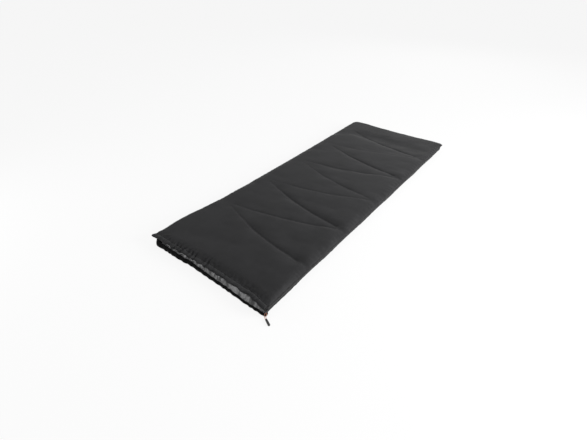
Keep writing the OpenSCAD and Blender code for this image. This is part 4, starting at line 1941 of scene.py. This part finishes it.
    def make_lining_stitches(self, thread: MouldedFinish) -> bpy.types.Object:
        """Shows the zigzag where it comes through the lining.

        Args:
            thread: The thread's finish.

        Returns:
            The stitches on the lining.
        """
        path = self.quilting.path()
        height = self.lining_height(path[:, 0], path[:, 1])
        z = self.base - self.sign * (height + self.lining_thread_lift)
        piece = Stitches().sew(
            self.prefix + "_lining_stitches", [np.column_stack([path, z])], thread.material()
        )
        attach(piece, self.body)
        return piece


@dataclass
class SideFold:
    """The cloth that turns round the fold from one quilt to the other."""

    bag: Bag
    reach: float = 0.0052
    lap: float = 0.003
    steps: int = 12
    spacing: float = 0.012
    gap: float = 0.0004
    cloth: float = 0.0007
    wave: float = 0.0006
    wave_length: float = 0.033

    def build(self, cloth: ClothFinish) -> bpy.types.Object:
        """Makes the fold, curved round the side between the two quilts.

        Args:
            cloth: Its finish, the shell's.

        Returns:
            The fold.
        """
        low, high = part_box("side_fold")
        middle = (low.z + high.z) / 2.0
        half = (self.bag.top_base - self.bag.under_base) / 2.0 + self.lap
        along = np.linspace(low.y, high.y, round((high.y - low.y) / self.spacing) + 1)
        turn = np.linspace(-math.pi / 2.0, math.pi / 2.0, self.steps + 1)
        wave = self.wave * sine_wave(along, self.wave_length, 2.0 * FOLD_WAVER.at(along, along))
        reach = self.reach + wave[:, None] * np.cos(turn)[None, :]
        x = -self.bag.half_w - self.gap - reach * np.cos(turn)[None, :]
        z = np.repeat((middle + half * np.sin(turn))[None, :], len(along), axis=0)
        y = np.repeat(along[:, None], len(turn), axis=1)
        points = np.stack([x, y, z], axis=-1)
        sheet = Sheet(points, lay_flat(points))
        fine = sheet.finer()
        inward = np.stack([np.cos(turn), 0.0 * turn, -np.sin(turn)], axis=-1)
        inner = points + inward[None] * self.cloth
        piece = thin_cloth("side_fold_cloth", fine, Sheet(inner, sheet.flat), True)
        piece.data.materials.append(cloth.material())
        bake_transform(piece)
        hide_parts("side_fold")
        fine.flat_size()
        return piece


@dataclass
class Zip:
    """The zip's two rows of teeth, which follow their tapes round the foot corner."""

    pitch: float = 0.003
    bead_h: float = 0.0015
    tooth_w: float = 0.0011
    head_w: float = 0.0014
    thick: float = 0.0030
    corner_steps: int = 12
    corner: float = 0.0307
    tape: float = 0.0004
    end_gap: float = 0.0004
    root_share: float = 0.55
    head_taper: float = 0.82
    side_x: float = 0.374

    def path(self, node: str, edge_z: float) -> Array:
        """Finds the line of a tape's edge.

        Args:
            node: The row of teeth that the line is for.
            edge_z: Height of the line.

        Returns:
            Points from the mouth round the corner to the end of the zip.
        """
        low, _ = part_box(node)
        _, tape_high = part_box(node.replace("teeth", "tape"))
        x = tape_high.x - self.tape
        y = tape_high.y - self.tape
        turn = np.linspace(0.0, math.pi / 2.0, self.corner_steps + 1)
        arc_x = x - self.corner + self.corner * np.cos(turn)
        arc_y = y - self.corner + self.corner * np.sin(turn)
        points = [(x, low.y + self.end_gap, edge_z)]
        points += [(a, b, edge_z) for a, b in zip(arc_x, arc_y)]
        points += [(low.x + self.end_gap, y, edge_z)]
        return np.array(points)

    def make_row(self, node: str, body: str, plastic: MouldedFinish) -> bpy.types.Object:
        """Makes one row: a bead on the tape's edge with teeth that reach into the other row.

        Args:
            node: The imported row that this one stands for.
            body: The body that it rides on.
            plastic: Its finish.

        Returns:
            The row.
        """
        low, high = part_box(node)
        upper = node.startswith("upper")
        way = -1.0 if upper else 1.0
        edge_z = high.z if upper else low.z
        tooth_h = (high.z - low.z) - self.bead_h
        root = tooth_h * self.root_share
        head = tooth_h - root
        tree = Tree(node)
        pitch = tree.size("Pitch", self.pitch)
        thick = tree.size("Thickness", self.thick)
        bead_h = tree.size("Bead height", self.bead_h)
        root_w = tree.size("Tooth width", self.tooth_w)
        head_w = tree.size("Head width", self.head_w)
        root_h = tree.size("Root height", root)
        head_h = tree.size("Head height", head)
        inner = tree.size("Head thickness", self.thick * self.head_taper)
        blocks = (
            ((pitch, thick, bead_h), self.bead_h / 2.0),
            ((root_w, thick, root_h), self.bead_h + root / 2.0),
            ((head_w, inner, head_h), self.bead_h + root + head / 2.0),
        )
        parts = tree.group.nodes.new("GeometryNodeJoinGeometry")
        for sizes, z in blocks:
            block = tree.add("GeometryNodeMeshCube", {}, {"Size": tree.triple(*sizes)})
            placed = tree.add("GeometryNodeTransform", {}, {
                "Geometry": block.outputs[0], "Translation": (0.0, 0.0, way * z),
            })
            tree.group.links.new(placed.outputs[0], parts.inputs[0])
        tree.close(tree.repeat(parts.outputs[0], pitch, "Z"), plastic.material())
        path = self.path(node, edge_z)
        if upper:
            path = path + np.array([0.0, self.pitch / 2.0, 0.0]) * (path[:, :1] > self.side_x)
        piece = tree.grow(node + "_row", [path])
        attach(piece, body)
        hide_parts(node)
        return piece


@dataclass
class Pull:
    """The slider's cord loop and its moulded grip."""

    eye: Vector
    across: Vector
    cord: float = 0.0022
    sides: int = 16
    grip_len: float = 0.038
    grip_w: float = 0.011
    neck_w: float = 0.0094
    grip_t: float = 0.007
    grooves: int = 4
    groove_pitch: float = 0.0045
    groove_depth: float = 0.0006
    groove_reach: float = 0.0009
    grip_end: float = 0.0055
    grip_shoulder: float = 0.003
    grip_neck: float = 0.55
    grip_flat: float = 0.7
    least_end: float = 0.12
    grip_square: float = 0.6
    grip_rings: int = 61
    grip_sides: int = 28

    ROUTE = (
        (7, 3.5, -29), (5.8, 1.9, -29), (4.2, -0.2, -28.3), (2.9, -1.9, -26.2), (2.4, -2.6, -23.4),
        (2, -2.9, -17.5), (1.3, -2.9, -11), (0.5, -2.7, -6.5), (0.1, -2.6, -4), (0, -2.1, -1.9),
        (0, -0.9, -0.4),
        (0, 1, 0.4),
        (0, 2.9, 0.3),
        (0, 4.7, -0.6), (0, 5.9, -2.2), (-0.2, 6.3, -4.2), (-0.6, 5.9, -7), (-1.2, 4.7, -11),
        (-1.9, 3, -17.5), (-2.3, 1.5, -23.4), (-1.6, 1.3, -26.2), (0.1, 2.7, -28.3), (1.8, 4.9, -29),
        (3, 6.5, -29),
    )

    @property
    def along(self) -> Vector:
        """The way that the tab points."""
        return Vector((self.across.y, -self.across.x, 0.0))

    def place(self, point: Sequence[float]) -> Array:
        """Takes a point from the tab's own frame, in millimetres, to the bag's."""
        a, c, z = (value / 1000.0 for value in point)
        return np.array(self.eye + self.along * a + self.across * c + Vector((0.0, 0.0, z)))

    def route(self) -> Array:
        """Gives the cord's line as close points."""
        line = np.array([self.place(p) for p in self.ROUTE])
        return refine(refine(line, 0), 0)

    def make_cord(self, braid: BraidFinish) -> bpy.types.Object:
        """Sweeps the braided cord along its line.

        Args:
            braid: The cord's finish.

        Returns:
            The cord.
        """
        line = self.route()
        ways = np.gradient(line, axis=0)
        ways /= np.linalg.norm(ways, axis=1, keepdims=True)
        over = np.array(self.across)
        rings = []
        for point, way in zip(line, ways):
            over = over - way * np.dot(over, way)
            over = over / np.linalg.norm(over)
            up = np.cross(way, over)
            turns = np.linspace(0.0, 2.0 * math.pi, self.sides + 1)[:-1]
            ring = np.cos(turns)[:, None] * over + np.sin(turns)[:, None] * up
            rings.append(point + self.cord / 2.0 * ring)
        steps = np.concatenate([[0.0], np.cumsum(np.linalg.norm(np.diff(line, axis=0), axis=1))])
        around = np.linspace(0.0, 1.0, self.sides + 1)[:-1]
        flat = np.stack(np.meshgrid(around, steps), axis=-1)
        piece = mesh_object("pull_cord_loop", np.array(rings), tube_faces(len(line), self.sides), flat)
        piece.data.materials.append(braid.material())
        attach(piece, "pull")
        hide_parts("pull_cord")
        return piece

    def make_grip(self, rubber: MouldedFinish) -> bpy.types.Object:
        """Makes the moulded grip: a flat rounded body with finger grooves.

        Args:
            rubber: Its finish.

        Returns:
            The grip.
        """
        first = self.place(self.ROUTE[0])
        last = self.place(self.ROUTE[-1])
        start = (first + last) / 2.0
        way = first - self.place(self.ROUTE[1])
        way = way / np.linalg.norm(way)
        side = np.array([-way[1], way[0], 0.0])
        rings = []
        turns = np.linspace(0.0, 2.0 * math.pi, self.grip_sides + 1)[:-1]
        corner_x = np.sign(np.cos(turns)) * np.abs(np.cos(turns)) ** self.grip_square
        corner_z = np.sign(np.sin(turns)) * np.abs(np.sin(turns)) ** self.grip_square
        for s in np.linspace(0.0, 1.0, self.grip_rings):
            at = s * self.grip_len
            past = max(0.0, (at - self.grip_len + self.grip_end) / self.grip_end)
            end = math.sqrt(max(0.0, 1.0 - past ** 2))
            before = 1.0 - min(1.0, at / self.grip_shoulder)
            shoulder = mix(self.grip_neck, 1.0, math.sqrt(1.0 - before ** 2))
            half_w = mix(self.neck_w, self.grip_w, s) / 2.0 * max(self.least_end, end) * shoulder
            half_t = self.grip_t / 2.0 * max(self.least_end, end ** self.grip_flat) * shoulder
            for g in range(self.grooves):
                place = self.grip_len - self.grip_w - g * self.groove_pitch
                half_t -= self.groove_depth * float(bell(at, place, self.groove_reach))
            ring = start + way * at + side * (half_w * corner_x)[:, None]
            ring[:, 2] += half_t * corner_z
            rings.append(ring)
        piece = mesh_object("pull_grip", np.array(rings), tube_faces(len(rings), len(turns)))
        piece.data.materials.append(rubber.material())
        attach(piece, "pull")
        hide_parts("cord_grip")
        return piece


@dataclass(frozen=True)
class Lamp:
    """A square soft lamp."""

    name: str
    place: tuple[float, float, float]
    aim: tuple[float, float, float]
    size: float
    power: float

    def hang(self) -> None:
        """Hangs the lamp in its place, facing its aim."""
        data = bpy.data.lights.new(self.name, "AREA")
        data.size = self.size
        data.energy = self.power
        lamp = bpy.data.objects.new(self.name, data)
        lamp.location = self.place
        lamp.rotation_euler = (Vector(self.aim) - Vector(self.place)).to_track_quat("-Z", "Y").to_euler()
        bpy.context.scene.collection.objects.link(lamp)


LAMPS = (
    Lamp("right", (3.4, 0.7, 1.15), (0.1, 0.0, 0.0), size=1.8, power=200.0),
    Lamp("rear", (-0.6, 3.8, 2.4), (0.0, 0.2, 0.0), size=2.4, power=30.0),
    Lamp("overhead", (-0.4, -0.3, 3.0), (0.0, 0.0, 0.0), size=2.6, power=10.0),
    Lamp("front", (-1.70, -2.10, 0.75), (0.1, -1.0, 0.03), size=0.5, power=9.0),
)


@dataclass
class Studio:
    """Floor, lamps and the camera at the photograph's angle."""

    image_w: float = 587.0
    focal_px: float = 375.0
    azimuth: float = 37.9
    elevation: float = 35.95
    distance: float = 2.077
    aim: tuple[float, float, float] = (0.065, -0.4034, 0.02)
    sensor: float = 36.0
    far: float = 200.0
    floor_half: float = 40.0
    floor_white: float = 0.88
    floor_dark: float = 0.93
    floor_light: float = 0.95
    floor_roughness: float = 0.9
    floor_gloss: float = 0.1
    world_light: float = 0.32

    def make_camera(self) -> None:
        """Places the camera."""
        turn = math.radians(self.azimuth)
        lift = math.radians(self.elevation)
        back = Vector((math.sin(turn) * math.cos(lift), -math.cos(turn) * math.cos(lift), math.sin(lift)))
        data = bpy.data.cameras.new("photo_camera")
        data.sensor_width = self.sensor
        data.sensor_fit = "HORIZONTAL"
        data.lens = self.focal_px * self.sensor / self.image_w
        data.clip_end = self.far
        camera = bpy.data.objects.new("photo_camera", data)
        camera.location = Vector(self.aim) + back * self.distance
        camera.rotation_euler = (-back).to_track_quat("-Z", "Y").to_euler()
        bpy.context.scene.collection.objects.link(camera)
        bpy.context.scene.camera = camera

    def make_floor(self) -> None:
        """Lays a plain white floor."""
        h = self.floor_half
        corners = np.array([[-h, -h, 0], [h, -h, 0], [h, h, 0], [-h, h, 0]])
        floor = mesh_object("floor", corners, [(0, 1, 2, 3)])
        paint = Paint("floor")
        shade = paint.noise(paint.object_place(), 3.0, 2.0)
        lit = paint.add("ShaderNodeBsdfPrincipled", {}, {
            "Base Color": paint.shade((self.floor_dark,) * 3, (self.floor_light,) * 3, shade),
            "Roughness": self.floor_roughness,
            "Specular IOR Level": self.floor_gloss,
        })
        white = paint.add("ShaderNodeEmission", {}, {"Color": (1.0, 1.0, 1.0, 1.0), "Strength": 1.0})
        floor.data.materials.append(paint.close(paint.add("ShaderNodeMixShader", {}, {
            0: paint.seen() * self.floor_white, 1: lit, 2: white,
        })))

    def light(self) -> None:
        """Sets the world and the lamps."""
        scene = bpy.context.scene
        scene.world = bpy.data.worlds.new("studio")
        paint = Paint("studio", scene.world)
        strength = paint.seen() * (1.0 - self.world_light) + self.world_light
        sky = paint.add("ShaderNodeBackground", {}, {"Color": (1.0, 1.0, 1.0, 1.0), "Strength": strength})
        paint.close(sky, "ShaderNodeOutputWorld")
        scene.view_settings.view_transform = "Standard"
        for lamp in LAMPS:
            lamp.hang()


def dress_nodes(
    nodes: dict[str, bpy.types.Object], names: Iterable[str], material: bpy.types.Material,
) -> None:
    """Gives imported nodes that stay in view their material.

    Args:
        nodes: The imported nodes.
        names: Which of them.
        material: The material.
    """
    for name in names:
        nodes[name].data.materials.clear()
        nodes[name].data.materials.append(material)
        LOG.info("dressed %s", name)


def main() -> None:
    """Builds the bag piece by piece."""
    logging.basicConfig(level=logging.INFO, format="%(message)s")
    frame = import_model()
    bag = Bag.from_frame()
    studio = Studio()
    studio.make_camera()
    joint = next(j for j in frame["joints"] if j["name"] == "cord_swing")
    pull = Pull(Vector(joint["pos_m"]), -Vector(joint["axis"]))
    grip = pull.make_grip(GRIP_RUBBER)
    pull.make_cord(CORD_BRAID)
    quilting = Quilting(bag)
    mouth = Mouth(bag)
    top = Quilt(Layer.TOP, bag, quilting, mouth, "top_quilt", "top")
    under = Quilt(
        Layer.UNDER, bag, quilting, mouth, "under_quilt", "under", valley=0.005, slack=0.003, swell=0.001,
        ear=0.0, foot_hollow=0.0, point_dip=0.0, fold_bulge=-0.027,
    )
    for quilt, outside in ((top, SHELL), (under, RIM_BINDING_AND_SHADE)):
        shell = quilt.make_shell(SHELL)
        quilt.make_fill(WADDING)
        quilt.make_lining(LINING)
        quilt.make_hem(outside, LIP_PAINTED_SHEEN)
        quilt.make_stitches(shell, THREAD)
        quilt.make_lining_stitches(LINING_THREAD)
        LOG.info("quilt %s is sewn", quilt.prefix)
    SideFold(bag).build(SHELL)
    zipper = Zip()
    zipper.make_row("lower_zip_teeth", "under_quilt", ZIP_PLASTIC)
    zipper.make_row("upper_zip_teeth", "top_quilt", ZIP_PLASTIC)
    dress_nodes(frame["nodes"], ("lower_zip_tape", "upper_zip_tape"), TAPE.material())
    stops = ("lower_mouth_stop", "lower_foot_stop", "upper_mouth_stop", "upper_foot_stop")
    dress_nodes(frame["nodes"], stops, ZIP_PLASTIC.material())
    dress_nodes(frame["nodes"], ("slider_body", "slider_cap", "pull_tab"), SLIDER_METAL.material())
    dress_nodes(frame["nodes"], ("lock_spring",), SPRING_STEEL.material())
    studio.make_floor()
    studio.light()


if __name__ == "__main__":
    main()
